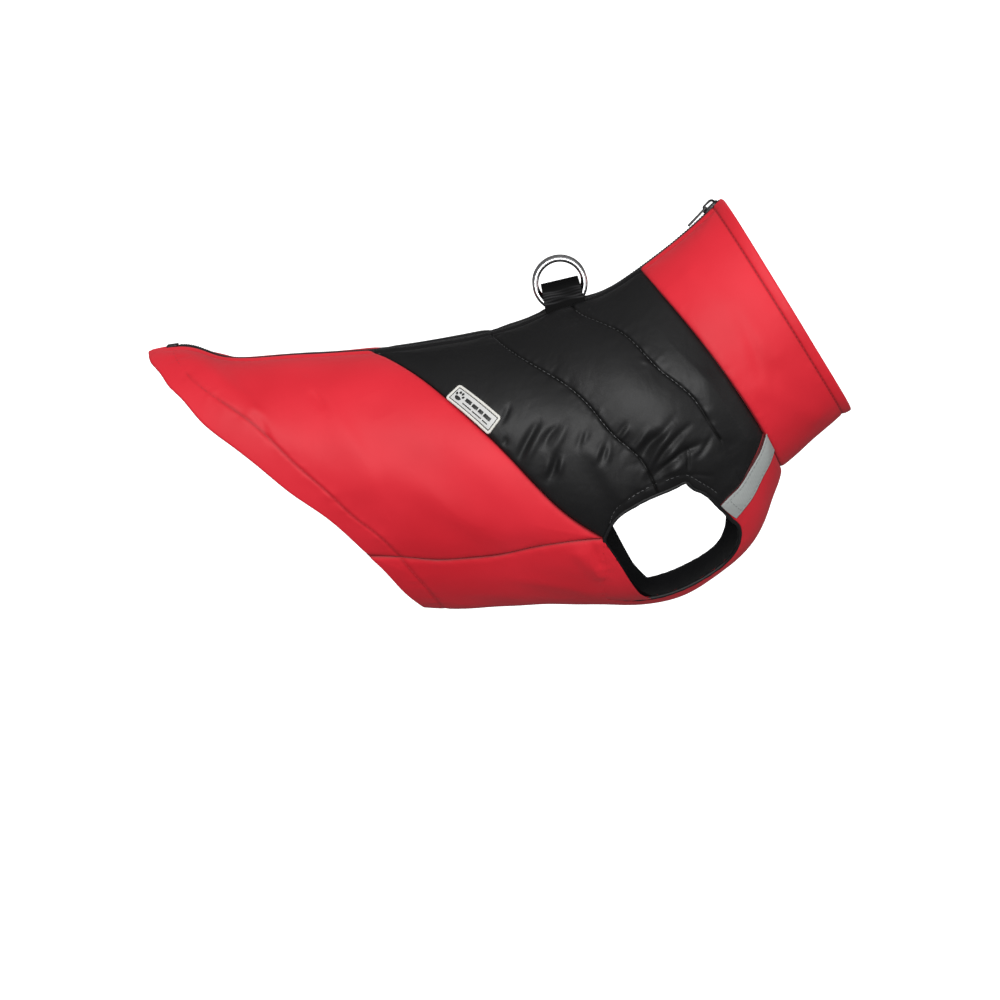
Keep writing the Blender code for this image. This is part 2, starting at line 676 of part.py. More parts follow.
def build_slider(metal):
    """A tapered plate over the chain with a wire bridge that carries the pull."""
    floor = CHAIN_RISE + SEAM_GAP
    frame = zip_frame(SLIDER_X, floor)
    plate = bevelled_box((SLIDER_LENGTH, SLIDER_WIDTH, SLIDER_PLATE), 0.45)
    for vert in plate.verts:
        narrow = 0.86 + 0.14 * (vert.co.x / SLIDER_LENGTH + 0.5)
        vert.co.y *= narrow
    lift = Matrix.Translation((0, 0, SLIDER_PLATE / 2))
    bmesh.ops.transform(plate, matrix=frame @ lift, verts=plate.verts)
    body = new_object("zip_slider", plate, metal)

    bridge = bpy.data.curves.new("slider_bridge", "CURVE")
    bridge.dimensions = "3D"
    bridge.bevel_depth = BRIDGE_WIRE * MM
    bridge.bevel_resolution = 1
    bridge.use_fill_caps = True
    reach, top = BRIDGE_LENGTH / 2, SLIDER_PLATE + BRIDGE_RISE - BRIDGE_WIRE
    route = ((-reach, 0.5), (-reach, top - 0.9), (-reach + 0.9, top), (reach - 1.6, top),
             (reach, top - 1.4), (reach, 0.5))
    spline = bridge.splines.new("POLY")
    spline.points.add(len(route) - 1)
    for knot, (x, z) in zip(spline.points, route):
        knot.co = ((frame @ Vector((x, 0, z))) * MM).to_4d()
    guide = bpy.data.objects.new("slider_bridge", bridge)
    cutters.objects.link(guide)
    bpy.context.view_layer.update()
    mesh = bpy.data.meshes.new_from_object(guide.evaluated_get(bpy.context.evaluated_depsgraph_get()))
    bpy.data.objects.remove(guide)
    bm = bmesh.new()
    bm.from_mesh(mesh)
    bmesh.ops.remove_doubles(bm, verts=bm.verts, dist=1e-6)
    bmesh.ops.recalc_face_normals(bm, faces=bm.faces)
    bm.to_mesh(mesh)
    bm.free()
    wire = bpy.data.objects.new("slider_bridge", mesh)
    wire.hide_render = True
    wire.display_type = "WIRE"
    cutters.objects.link(wire)
    union = body.modifiers.new("bridge", "BOOLEAN")
    union.operation = "UNION"
    union.object = wire


def pull_axis():
    """The pull's hinge axis: its bar, under the bridge by the rear post."""
    floor = CHAIN_RISE + SEAM_GAP + SLIDER_PLATE
    frame = zip_frame(SLIDER_X, floor)
    behind = -BRIDGE_LENGTH / 2 + BRIDGE_WIRE + SEAM_GAP + PULL_BAR
    return frame @ Matrix.Translation((behind, 0, PULL_AXIS_RISE))


def build_pull(metal):
    """A flat tab with an eye; its rear end rests near the chain."""
    outline = bpy.data.curves.new("zip_pull", "CURVE")
    outline.dimensions = "2D"
    outline.fill_mode = "BOTH"
    outline.extrude = PULL_THICK / 2 * MM
    half, corner = PULL_WIDTH / 2, 1.2
    front, back = PULL_BAR, PULL_BAR - PULL_LENGTH
    shape = [(front, half * 0.72), (front, -half * 0.72)]
    for middle_x, middle_y, start in ((back + corner, -half + corner, 270), (back + corner, half - corner, 180)):
        for step in range(4):
            angle = math.radians(start - 30 * step)
            shape.append((middle_x + corner * math.cos(angle), middle_y + corner * math.sin(angle)))
    eye_length, eye_width = PULL_EYE
    eye_front = -PULL_BAR
    eye = [(eye_front, -eye_width / 2), (eye_front, eye_width / 2),
           (eye_front - eye_length + 0.7, eye_width / 2), (eye_front - eye_length, eye_width / 4),
           (eye_front - eye_length, -eye_width / 4), (eye_front - eye_length + 0.7, -eye_width / 2)]
    for points in (shape, eye):
        spline = outline.splines.new("POLY")
        spline.points.add(len(points) - 1)
        spline.use_cyclic_u = True
        for knot, (x, y) in zip(spline.points, points):
            knot.co = (x * MM, y * MM, 0, 1)
    pull = bpy.data.objects.new("zip_pull", outline)
    outline.materials.append(metal)
    coat.objects.link(pull)
    droop = Matrix.Rotation(math.radians(-PULL_DROOP), 4, "Y")
    placed = pull_axis() @ droop
    placed.translation *= MM
    pull.matrix_world = placed


# ---------------------------------------------------------------- leash rings

def ring_frame(side):
    """A frame at a ring's bar: x along the bar to the head, y to the left, z up through the ring."""
    sign = 1 if side == "left" else -1
    ground = spot(RING_X, turn_beside_zip(RING_X, RING_Y))[0].z
    rise = RING_CENTRE_RISE - RING_BAR_BELOW
    lean = Matrix.Rotation(math.radians(sign * RING_LEAN), 4, "X")
    slope = Matrix.Rotation(math.radians(-RING_SLOPE), 4, "Y")
    return Matrix.Translation((RING_X, sign * RING_Y, ground + rise)) @ slope @ lean


def build_ring(side, metal):
    """A leash ring: a round arc closed by a straight bar."""
    frame = ring_frame(side)
    bar_half = math.sqrt(RING_RADIUS ** 2 - RING_BAR_BELOW ** 2)
    start = math.degrees(math.asin(-RING_BAR_BELOW / RING_RADIUS))
    sweep = 180 - 2 * start
    path = [Vector((x, 0, 0)) for x in (-bar_half * 0.5, 0.0, bar_half * 0.5)]
    for angle in steps_between(start, start + sweep, 26):
        turn = math.radians(angle)
        path.append(Vector((RING_RADIUS * math.cos(turn), 0, RING_RADIUS * math.sin(turn) + RING_BAR_BELOW)))
    tube("d_ring_" + side, [frame @ point for point in path], RING_WIRE, metal, 2)


def build_loop(side, webbing):
    """Webbing up one side of the ring's bar, folded over above it and down the other side."""
    frame = ring_frame(side)
    inner = LOOP_INSIDE / 2
    leg_top = LOOP_OVER_BAR - LOOP_THICK - inner
    outer_line, inner_line = [], []
    for z in (0.0, 0.5, 1.0):
        outer_line.append((inner + LOOP_THICK, leg_top * z, z == 0.0))
        inner_line.append((inner, leg_top * z, z == 0.0))
    for angle in (22.5, 45, 67.5, 90, 112.5, 135, 157.5):
        turn = math.radians(angle)
        for line, radius in ((outer_line, inner + LOOP_THICK), (inner_line, inner)):
            line.append((radius * math.cos(turn), leg_top + radius * math.sin(turn), False))
    for z in (1.0, 0.5, 0.0):
        outer_line.append((-inner - LOOP_THICK, leg_top * z, z == 0.0))
        inner_line.append((-inner, leg_top * z, z == 0.0))
    outer, inside = [], []
    for layer, line in ((outer, outer_line), (inside, inner_line)):
        for y, z, foot in line:
            row = []
            for share in (-1, -0.5, 0, 0.5, 1):
                half = LOOP_WIDTH / 2 + (LOOP_TOP_WIDTH - LOOP_WIDTH) / 2 * max(0, z) / LOOP_OVER_BAR
                point = frame @ Vector((half * share, y, z))
                if foot:
                    point = foot_on_coat(point, frame)
                row.append(point)
            layer.append(row)
    wall("ring_loop_" + side, outer, inside, webbing, gap=0.0)


def foot_on_coat(point, frame):
    """Drops a point along the loop's leg to just above the coat."""
    down = -(frame.to_3x3() @ Vector((0, 0, 1)))
    sewn = side_panel_sewn("right") + side_panel_sewn("left")
    low, high = 0.0, 14.0
    for _ in range(16):
        middle = (low + high) / 2
        tried = point + down * middle
        side_turn = turn_beside_zip(tried.x, max(abs(tried.y), 0.3))
        ground, normal = spot(tried.x, side_turn)
        lift = puffed(Vector((ground.x, -abs(tried.y), ground.z)), sewn, PUFF_CHANNEL)
        if tried.z - ground.z > (lift + LOOP_FOOT_GAP) / normal.z:
            low = middle
        else:
            high = middle
    return point + down * low


# ---------------------------------------------------------------- the coat

for leftover in list(bpy.data.objects):
    bpy.data.objects.remove(leftover)
coat = bpy.data.collections.new("dog_coat")
cutters = bpy.data.collections.new("cutters")
for collection in (coat, cutters):
    bpy.context.scene.collection.children.link(collection)

red = material_of("red_nylon", (0.76, 0.035, 0.055), 0.45)
black = material_of("black_nylon", (0.02, 0.02, 0.022), 0.35)
edging = material_of("black_edging", (0.012, 0.012, 0.013), 0.6)
webbing = material_of("black_webbing", (0.014, 0.014, 0.015), 0.8)
tape = material_of("black_zip", (0.012, 0.012, 0.012), 0.5)
grey = material_of("reflective_grey", (0.3, 0.33, 0.32), 0.4)
silver = material_of("label_silver", (0.72, 0.72, 0.7), 0.4)
dark_metal = material_of("dark_metal", (0.05, 0.05, 0.05), 0.35, 1.0)
chrome = material_of("chrome", (0.8, 0.8, 0.8), 0.12, 1.0)

for side in ("right", "left"):
    build_rear_panel(side, red)
    build_side_panel(side, black)
    build_edging(side, edging)
    build_strip(side, grey)
    build_loop(side, webbing)
    build_ring(side, chrome)
build_under_panel(red)
build_neck_panel(red)
build_zip(tape, dark_metal)
build_label(silver)
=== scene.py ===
"""A dog's padded winter coat in red and black nylon, in its worn form, with its sewing, zip and leash rings.

Frame: +X to the dog's head, +Y to its left, +Z up, in metres. Sizes below are in millimetres and degrees,
and become metres when a mesh is made. A place on the coat is given by x and by its turn: 0 is the middle of
the back, 90 the right side, 180 the middle of the belly and 270 the left side.
"""

import math
import random
from functools import partial

import bmesh
import bpy
import numpy as np
from mathutils import Matrix, Vector


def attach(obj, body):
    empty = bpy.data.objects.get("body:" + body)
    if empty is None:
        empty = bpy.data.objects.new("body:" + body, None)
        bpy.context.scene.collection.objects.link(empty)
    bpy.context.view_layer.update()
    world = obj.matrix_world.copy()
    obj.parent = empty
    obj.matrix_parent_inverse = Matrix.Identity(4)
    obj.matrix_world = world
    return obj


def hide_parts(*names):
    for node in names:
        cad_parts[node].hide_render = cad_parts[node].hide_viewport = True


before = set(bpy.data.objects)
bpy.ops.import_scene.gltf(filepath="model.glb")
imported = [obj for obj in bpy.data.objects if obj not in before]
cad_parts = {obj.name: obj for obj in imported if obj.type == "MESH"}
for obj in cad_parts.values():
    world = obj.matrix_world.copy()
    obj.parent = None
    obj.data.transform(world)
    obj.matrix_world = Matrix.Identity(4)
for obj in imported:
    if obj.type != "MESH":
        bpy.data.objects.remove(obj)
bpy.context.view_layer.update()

MM = 0.001
TURN_MM = 1.25  # about how far a degree of turn goes round the coat

# ---------------------------------------------------------------- the coat's form, as the solids have it

NECK_STATION = 6.0
COLLAR_STATION = 8.0

# station, back_x, back_z, belly_x, belly_z, half_width, fullness (wider above), bow (to the head, mid ring)
RINGS = (
    (0, -278, -33, -110, -195.5, 60, 0.1, 9),
    (0.4, -257, -29.8, -91, -194.8, 61, 0.09, 8),
    (1, -235, -36.3, -62, -193.6, 63, 0.08, 7),
    (2, -190, -35.6, -6, -191.2, 68, 0.05, 8),
    (3, -141, -32.8, 46, -188, 73, 0.02, 9),
    (4, -68.7, -22, 91, -156, 76, 0, 9),
    (5, -22, -5.3, 106, -123.5, 72, 0, 11),
    (5.5, 1.2, 3.4, 109.8, -113.5, 67.5, 0, 9),
    (6, 23, 17.6, 112, -105, 62, 0, 6),
)
NECK_RINGS = (
    (6, 23, 17.6, 112, -105, 62, 0, 6),
    (7, 48, 37.2, 131.5, -84.6, 57, 0, 1.6),
    (8, 72.6, 60.2, 154, -68, 54, 0, -1),
)

# Seams and edges on the right, as (x, turn).
SEAM_GAP = 0.3
SEWN_GAP = 0.06  # between two cloths' faces at their seam
HEM_START_X = -278.6
REAR_SEAM_X = -141.0
QUILT_A_X = -68.7
QUILT_B_X = -22.0
NECK_SEAM_X = 23.3
COLLAR_X = 72.7

HEM = ((-275, 17.5), (-267.6, 28.8), (-261.9, 37.4), (-254, 45.1), (-241.3, 57.9), (-222.6, 70.2),
       (-204.3, 81.5), (-186.8, 92.4), (-165.7, 103.6), (-150, 115.1), (-142.5, 121.4))
BELLY_HEM = ((-142.5, 121.4), (-134.9, 128.2), (-121.6, 145.4), (-113, 161.1), (-110, 180))
REAR_SEAM = ((-127.4, 18), (-113.5, 31), (-95.2, 47.4), (-78.4, 61), (-62.5, 73.3), (-44.8, 87.3),
             (-26.9, 100.4), (-14.9, 107.6), (-1, 115))
QUILT_A = ((-60.1, 22.9), (-36.4, 46), (-9.6, 68), (3.8, 80.9), (21.6, 94.5), (30.9, 106.8))
QUILT_B = ((-13.1, 21.2), (10.4, 45.5), (30.8, 69.4), (51.3, 87.7), (61, 100.1), (71.1, 112.3),
           (81.2, 128.7))
SIDE_SEAM = ((-142.5, 121.4), (-118.2, 122.2), (-97.6, 122.5), (-78.8, 121.9), (-60.1, 120.6),
             (-38.5, 116.1), (-21.8, 114), (-5.8, 114.4), (-1, 115))
ARMHOLE_REAR_TOP = ((-1, 115), (2.4, 110.8), (7.3, 108.1), (15.1, 106.8), (23.3, 106.4), (30.9, 106.8))
ARMHOLE_TOP = ((30.9, 106.8), (38.2, 107.6), (43.3, 108.2), (47.6, 109))
ARMHOLE_FRONT_TOP = ((47.6, 109), (51.9, 112.4), (57.3, 116), (62.8, 120.3), (68.9, 126.4))
ARMHOLE_LOW = ((-1, 115), (-1, 119.5), (1.2, 127.4), (1.6, 131.3), (1.1, 137.8), (1.2, 147.1), (5, 155),
               (16, 159.3), (34, 160.5), (54, 161), (70, 161.8), (79.2, 160.9), (83.7, 156.8), (85, 151.8),
               (84.8, 148.1), (83.1, 143.4), (79, 137.9), (74.3, 132.2), (68.9, 126.4))
FRONT_SEAM_LOW = ((68.9, 126.4), (72.6, 126.7), (76.7, 127.6), (81.2, 128.7))
FRONT_SEAM_HIGH = ((81.2, 128.7), (86.6, 128.6), (92.1, 126.9), (96.3, 124.1))
STRIP_FRONT_EDGE = ((79.5, 137.6), (85, 137.9), (90.6, 138.4), (96.6, 137), (102.4, 136.9))
UNDER_MIDDLE_X = (-110.0, 34.0, 78.0, 108.5, 112.5)

WALL = 2.4
EDGING_RADIUS = 1.05
STRIP_THICK = 0.6
STRIP_INSET = 0.6
STRIP_SEWN = {"rear": 0.13, "front": 0.87}  # shares of its width
STRIP_SEWN_DEPTH = 0.22
LAID_ON_GAP = 0.35
RING_RADIUS = 15.0
RING_WIRE = 1.9
RING_BAR_BELOW = 11.2
RING_X = -23.4
RING_Y = 9.0
RING_CENTRE_RISE = 16.2
RING_SLOPE = 13.3
RING_LEAN = 11.0
LOOP_WIDTH = 25.0
LOOP_TOP_WIDTH = 23.2
LOOP_THICK = 1.4
LOOP_INSIDE = 5.6
LOOP_OVER_BAR = 11.9
LOOP_FOOT_GAP = 0.35
PUFF_RED = 1.5
PUFF_UNDER = 1.1
PUFF_CHANNEL = 2.6
PUFF_NECK = 1.6
PUFF_REACH = 20.0
COLLAR_BAND = 5.5
COLLAR_DEPTH = 48.0

# The solids' broad folds: panel, side, from_x, from_turn, to_x, to_turn, half_width, height
FOLDS = (
    ("rear", "right", -205, 48, -150, 86, 13, 1.2),
    ("rear", "left", -214, 52, -146, 80, 14, 1.1),
    ("rear", "both", -128, 80, -60, 108, 12, 1.3),
    ("side", "right", -8, 84, 12, 104, 6, 1.5),
    ("side", "right", 34, 90, 42, 104, 6, 1.6),
    ("side", "left", -4, 86, 14, 103, 6, 1.5),
    ("side", "left", 37, 88, 41, 104, 6.5, 1.5),
    ("side", "both", 58, 84, 66, 112, 7, 1.2),
    ("neck", "right", 52, 40, 98, 96, 8, 1.2),
    ("neck", "left", 48, 44, 96, 92, 8, 1.1),
    ("neck", "both", 92, 104, 128, 142, 7, 1),
    ("under", "both", -14, 120, -2, 132, 5, 1.4),
)

# ---------------------------------------------------------------- creases, each in its own place

# Troughs have a height below 0. Lean, where it is given, widens the side to the right of the line's run and
# narrows the other.
# panel, side, rows of: line of (x, turn), half_width, height, lean
CREASES = (
    ("side", "right", (
        (((-39.5, 66.9), (-45.3, 72), (-49, 75.8), (-52.1, 79.9)), 2.3, -1.7, 0.1),
        (((-36.8, 69.4), (-41.2, 73.6), (-46.6, 80)), 2.2, 0.9),
        (((-29, 70.6), (-34.8, 73.7), (-36.4, 76.4)), 1.9, -1.2),
        (((-22.2, 70.4), (-27.9, 76), (-32.4, 79.4)), 2.2, 0.8),
        (((-28.4, 80.2), (-31, 85), (-34.2, 88.6)), 2.2, -1.5),
        (((-33, 80.7), (-36, 86.5)), 1.8, 0.7),
        (((-25.8, 82.1), (-27.6, 87.4)), 1.7, 0.9),
        (((-56.6, 57.5), (-59.4, 61.6), (-61.4, 64.1)), 1.4, -1.1),
        (((-58.4, 69.6), (-60.3, 73)), 1.5, -0.9),
        (((-10.1, 75.3), (-14.3, 79.6)), 1.9, 0.8),
        (((-13, 75.6), (-17, 80.4)), 1.7, -0.7),
        (((-1.2, 80.6), (-6.5, 86.7)), 1.8, 0.9),
        (((-0.6, 83.4), (-3.6, 88.2)), 1.5, -0.9),
        (((2.6, 82.5), (0.8, 88.6)), 1.5, 0.8),
        (((-3, 70.8), (-5.4, 73.1)), 1.5, 0.8),
        (((13.1, 81.2), (7.8, 83.6)), 1.4, 0.9),
        (((11.4, 79.6), (6.4, 82.4)), 1.4, -0.8),
        (((24.3, 85.6), (15.6, 89.3)), 1.5, 0.9),
        (((38.6, 89.2), (31.1, 90), (25.2, 90.3), (19.5, 94)), 2.7, -2.1, 0.25),
        (((39.2, 90.6), (34.1, 91.6), (30, 93.1), (26, 96.2), (21.9, 98.2)), 1.8, 1.3),
        (((49, 94.6), (41.4, 94.2), (36, 94.6), (28.9, 97.4)), 1.7, -1.3),
        (((45.4, 96.1), (38.5, 97.1), (31, 98)), 1.6, 0.9),
        (((56, 103), (48.2, 100.7), (42.2, 99.6), (35.6, 99.6), (26.9, 101)), 2.2, -2.1, 0.2),
        (((46.2, 102.8), (36.5, 102.3)), 2, 0.9),
        (((61.4, 103.4), (56.7, 104.9), (52, 104.5)), 1.3, -1.2),
        (((47.6, 100.2), (47.8, 105.8)), 1, -1.5),
        (((20.4, 62.4), (25.4, 66)), 1.4, 0.6),
    )),
    ("side", "both", (
        (((-38, 13), (-23, 12.6), (-8, 12)), 5.5, 1.9),
    )),
    ("side", "left", (
        (((-42, 67.5), (-47.1, 72.6), (-53.6, 79)), 2.4, -1.6, 0.1),
        (((-38.4, 69), (-43.2, 74.4), (-49, 80.4)), 2.2, 0.9),
        (((-25, 72), (-30.2, 77.7), (-33, 83.4)), 2.1, -1.4),
        (((-20.2, 73.4), (-25.1, 79), (-28.4, 84.4)), 2, 0.8),
        (((-60, 62.2), (-64.4, 67.4)), 1.7, -1),
        (((-12.6, 78), (-17.2, 85.2)), 1.9, -0.9),
        (((-4, 79), (-8.2, 87.4)), 1.8, 0.9),
        (((3, 84.5), (0.4, 90.2)), 1.6, -0.9),
        (((9.6, 78.8), (4.2, 82)), 1.5, 0.8),
        (((42, 87.6), (33.2, 89.6), (24.6, 91.4), (18.8, 95.6)), 2.5, -1.9, 0.2),
        (((44, 90), (35, 92), (28.2, 95.6), (22.6, 99.2)), 1.8, 1.2),
        (((53, 99), (45, 98.2), (37.2, 98.4), (29.2, 101)), 2.2, -1.8, 0.2),
        (((50.2, 102.6), (38.8, 102)), 2, 0.8),
        (((62.6, 101.6), (57.2, 104.6), (52.2, 106)), 1.4, -1.1),
    )),
    ("rear", "right", (
        (((-176.2, 38.8), (-170.8, 44.6), (-165.7, 50.7)), 3.4, -1.5, 0.2),
        (((-175.2, 34.2), (-157.5, 57.9), (-144.4, 73.9), (-133.1, 92.7)), 9, 1.3, 0.3),
        (((-138.9, 43.1), (-131.8, 55.7)), 7, -0.7),
        (((-110, 84), (-92, 98), (-70, 108)), 8, 0.7, 0.3),
        (((-206.4, 57.6), (-202.2, 64.6), (-198.6, 70.6)), 2.4, -1.1),
        (((-213, 52), (-204, 55.5)), 2.6, 0.8),
    )),
    ("rear", "left", (
        (((-264, 17), (-252, 19), (-236, 20), (-216, 18)), 12, -2.6),
        (((-228, 13), (-200, 13), (-170, 13), (-146, 12)), 9, -1),
        (((-181, 41.5), (-168.6, 53.4)), 3.6, -0.9, 0.1),
        (((-168, 30.2), (-150.5, 54.8), (-139, 78)), 9, 0.9, 0.2),
        (((-120, 48.1), (-108, 66.2), (-101, 82)), 8, -0.7),
        (((-209, 60), (-200, 66.5)), 2.6, -1),
    )),
    ("neck", "right", (
        (((76.4, 69.5), (84.8, 84), (89.6, 94.4), (92, 104.4)), 3, -0.5, 0.3),
        (((78.6, 80.3), (85.1, 95.4)), 4, 0.35),
        (((97, 92.7), (101.5, 113.7)), 4, -0.35, 0.2),
    )),
    ("neck", "left", (
        (((72, 62.5), (82, 80.4), (88.2, 96.4)), 3.2, -0.55, 0.2),
        (((98, 88), (108, 112)), 4.2, -0.4),
        (((80.6, 98), (89.4, 118)), 4, 0.4),
    )),
    ("under", "right", (
        (((-6.3, 115.8), (-4.4, 121.8), (-1.3, 129.1)), 1.6, -1.2, 0.2),
        (((-9.6, 116.4), (-7.2, 123), (-3.6, 131)), 1.8, 0.9),
    )),
    ("under", "left", (
        (((-7.3, 116), (-5, 122.8), (-2.3, 130.1)), 1.6, -1.2, 0.2),
        (((-11, 116.6), (-8, 124)), 1.8, 0.8),
    )),
    ("under", "both", (
        (((-60, 134), (-20, 142), (2, 150)), 7, 0.8),
        (((-92, 150), (-50, 160)), 8, -0.6),
        (((20, 168), (70, 172)), 7, 0.6),
    )),
)

# Topstitching on the right, as (x, turn).
ARMHOLE_FACING = ((34, 102.9), (37, 103.3), (48.6, 107.3), (55.7, 110.6), (62.5, 114.4))
HEM_STITCH = ((-262.5, 9.5), (-257, 24), (-244, 40), (-224.6, 53), (-205, 64.5), (-183.3, 80.2),
              (-163.3, 92.6), (-147.6, 103.6), (-137, 109.4), (-127, 117.5), (-123, 121.2))
BELLY_STITCH = ((-122.6, 122.6), (-108.4, 139), (-99, 160), (-96, 180))
ARMHOLE_STITCH = ((2.6, 110.6), (4.9, 106.2), (9, 104.1), (15, 103.2), (22, 102.9), (29, 103.1),
                  (36.5, 104.1), (44, 105.5), (50, 108.6), (56.4, 113.2), (62.6, 117.9), (68.6, 123.2))


class Spline:
    """A natural cubic spline through rows, each of a knot and its values."""

    def __init__(self, rows):
        rows = np.array(rows, float)
        self.knots, self.values = rows[:, 0], rows[:, 1:]
        spans = np.diff(self.knots)
        slopes = np.diff(self.values, axis=0) / spans[:, None]
        system = np.eye(len(rows))
        right = np.zeros_like(self.values)
        for i in range(1, len(rows) - 1):
            system[i, i - 1:i + 2] = spans[i - 1], 2 * (spans[i - 1] + spans[i]), spans[i]
            right[i] = 6 * (slopes[i] - slopes[i - 1])
        self.bends = np.linalg.solve(system, right)

    def at(self, knot):
        knot = np.asarray(knot, float)
        i = np.clip(np.searchsorted(self.knots, knot) - 1, 0, len(self.knots) - 2)
        span = (self.knots[i + 1] - self.knots[i])[..., None]
        b = (knot - self.knots[i])[..., None] / span
        a = 1 - b
        bend = (a ** 3 - a) * self.bends[i] + (b ** 3 - b) * self.bends[i + 1]
        return a * self.values[i] + b * self.values[i + 1] + bend * span ** 2 / 6


BODY_SPLINE = Spline(RINGS)
NECK_SPLINE = Spline(NECK_RINGS)


def ring_point(station, turn):
    """Points of the coat's form."""
    station, turn = np.broadcast_arrays(np.asarray(station, float), np.asarray(turn, float))
    rows = np.where((station < NECK_STATION)[..., None], BODY_SPLINE.at(station), NECK_SPLINE.at(station))
    back_x, back_z, belly_x, belly_z, half_width, fullness, bow = np.moveaxis(rows, -1, 0)
    angle = np.radians(turn)
    down = (1 - np.cos(angle)) / 2
    run_x, run_z = belly_x - back_x, belly_z - back_z
    lean = bow * 4 * down * (1 - down) / np.hypot(run_x, run_z)
    return np.stack([back_x + run_x * down - run_z * lean,
                     -half_width * np.sin(angle) * (1 + fullness * np.cos(angle)),
                     back_z + run_z * down + run_x * lean], -1)


def station_at(x, turn):
    x, turn = np.broadcast_arrays(np.asarray(x, float), np.asarray(turn, float))
    low, high = np.full(x.shape, -0.8), np.full(x.shape, COLLAR_STATION + 0.4)
    for _ in range(30):
        middle = (low + high) / 2
        short = ring_point(middle, turn)[..., 0] < x
        low, high = np.where(short, middle, low), np.where(short, high, middle)
    return (low + high) / 2


def unit(vectors):
    return vectors / np.maximum(np.linalg.norm(vectors, axis=-1, keepdims=True), 1e-9)


def outward(station, turn):
    ahead = ring_point(station + 0.1, turn) - ring_point(station - 0.1, turn)
    around = ring_point(station, turn + 2) - ring_point(station, turn - 2)
    return unit(np.cross(around, ahead))


def spots(places):
    """The points and outward normals at places, rows of (x, turn)."""
    places = np.asarray(places, float)
    station = station_at(places[..., 0], places[..., 1])
    return ring_point(station, places[..., 1]), outward(station, places[..., 1])


def turn_beside_zip(x, distance):
    turn = np.full(np.shape(x), 5.0)
    for _ in range(3):
        reach = np.abs(ring_point(station_at(x, turn), 90.0)[..., 1])
        turn = np.degrees(np.arcsin(distance / reach))
        turn = turn * distance / np.abs(ring_point(station_at(x, turn), turn)[..., 1])
    return turn


def along(rows, shares):
    """Places at shares of a smooth line through rows of (x, turn)."""
    rows = np.array(rows, float)
    steps = np.hypot(np.diff(rows[:, 0]), np.diff(rows[:, 1]) * TURN_MM)
    knots = np.concatenate([[0], np.cumsum(steps)])
    return Spline(np.column_stack([knots, rows])).at(knots[-1] * np.asarray(shares))


def beside_zip(start_x, end_x, shares, distance):
    x = start_x + (end_x - start_x) * np.asarray(shares)
    return np.stack([x, turn_beside_zip(x, distance)], -1)


def from_zip(x, rows, shares):
    start = beside_zip(x, x, [0.0], CLOTH_EDGE)[0]
    return along([tuple(start)] + list(rows), shares)


def crowded(length, pitch):
    """Shares of a line at a pitch in mm, closer beside both its ends."""
    close, even_from = np.array([0.0, 0.28, 0.62, 1.05, 1.7]), 2.8
    rest = length - 2 * even_from
    middle = even_from + rest * np.linspace(0, 1, max(2, round(rest / pitch) + 1))
    return np.concatenate([close, middle, length - close[::-1]]) / length


def blended(start, end, first, last, ahead, across):
    """A grid of places between opposite lines start and end, and cross lines first and last."""
    a, b = ahead[:, None, None], across[None, :, None]
    ruled = (1 - b) * start[:, None] + b * end[:, None] + (1 - a) * first[None] + a * last[None]
    corners = (1 - a) * ((1 - b) * start[0] + b * end[0]) + a * ((1 - b) * start[-1] + b * end[-1])
    return ruled - corners


def mirrored(places):
    return places * [1, -1] + [0, 360]


# ---------------------------------------------------------------- heights over the form

ZIP_HALF_OPENING = 6.2
CLOTH_EDGE = 3.6  # from the middle of the back to the panels' folded edges, over the zip's tape
ZIP_STITCH = 8.6
REBATE_WIDTH = 2.9  # how much of each panel is a single folded cloth, without padding, beside the zip
REBATE_DEPTH = 0.35
REBATE_SLOPE = 1.3  # from the folded cloth's depth to the padded wall's
SEAM_SHARES = np.linspace(0, 1, 33)
SIDES = ("right", "left")
SIDE_CREASE_GAIN = 1.25

NEAREST_KNOWN = {}
NEAREST_AT_ONCE = 8000  # points
NEAREST_KEPT_FROM = 500


def nearest(points, line):
    """Each point's distance to a line of points, its place along the line in mm, and its segment."""
    key = (points.shape, points.tobytes()[:4096], float(points.sum()), line.tobytes())
    if key in NEAREST_KNOWN:
        return NEAREST_KNOWN[key]
    flat = points.reshape(-1, 3)
    runs = line[1:] - line[:-1]
    squares = np.maximum((runs ** 2).sum(1), 1e-9)
    starts = np.concatenate([[0], np.cumsum(np.sqrt(squares))])
    distance, place, segment = np.empty(len(flat)), np.empty(len(flat)), np.empty(len(flat), int)
    for i in range(0, len(flat), NEAREST_AT_ONCE):
        part = slice(i, i + NEAREST_AT_ONCE)
        some = flat[part]
        ahead = some @ runs.T - (line[:-1] * runs).sum(1)
        share = np.clip(ahead / squares, 0, 1)
        far = (some ** 2).sum(1)[:, None] + (line[:-1] ** 2).sum(1) - 2 * some @ line[:-1].T
        far += share * (share * squares - 2 * ahead)
        best = far.argmin(1)
        rows = np.arange(len(best))
        distance[part] = np.sqrt(np.maximum(far[rows, best], 0))
        place[part] = starts[best] + share[rows, best] * np.sqrt(squares[best])
        segment[part] = best
    shape = points.shape[:-1]
    found = distance.reshape(shape), place.reshape(shape), segment.reshape(shape)
    if len(flat) > NEAREST_KEPT_FROM:
        NEAREST_KNOWN[key] = found
    return found


def line_points(places):
    return spots(places)[0]


def turned(places, side):
    places = np.asarray(places, float)
    return mirrored(places) if side == "left" else places


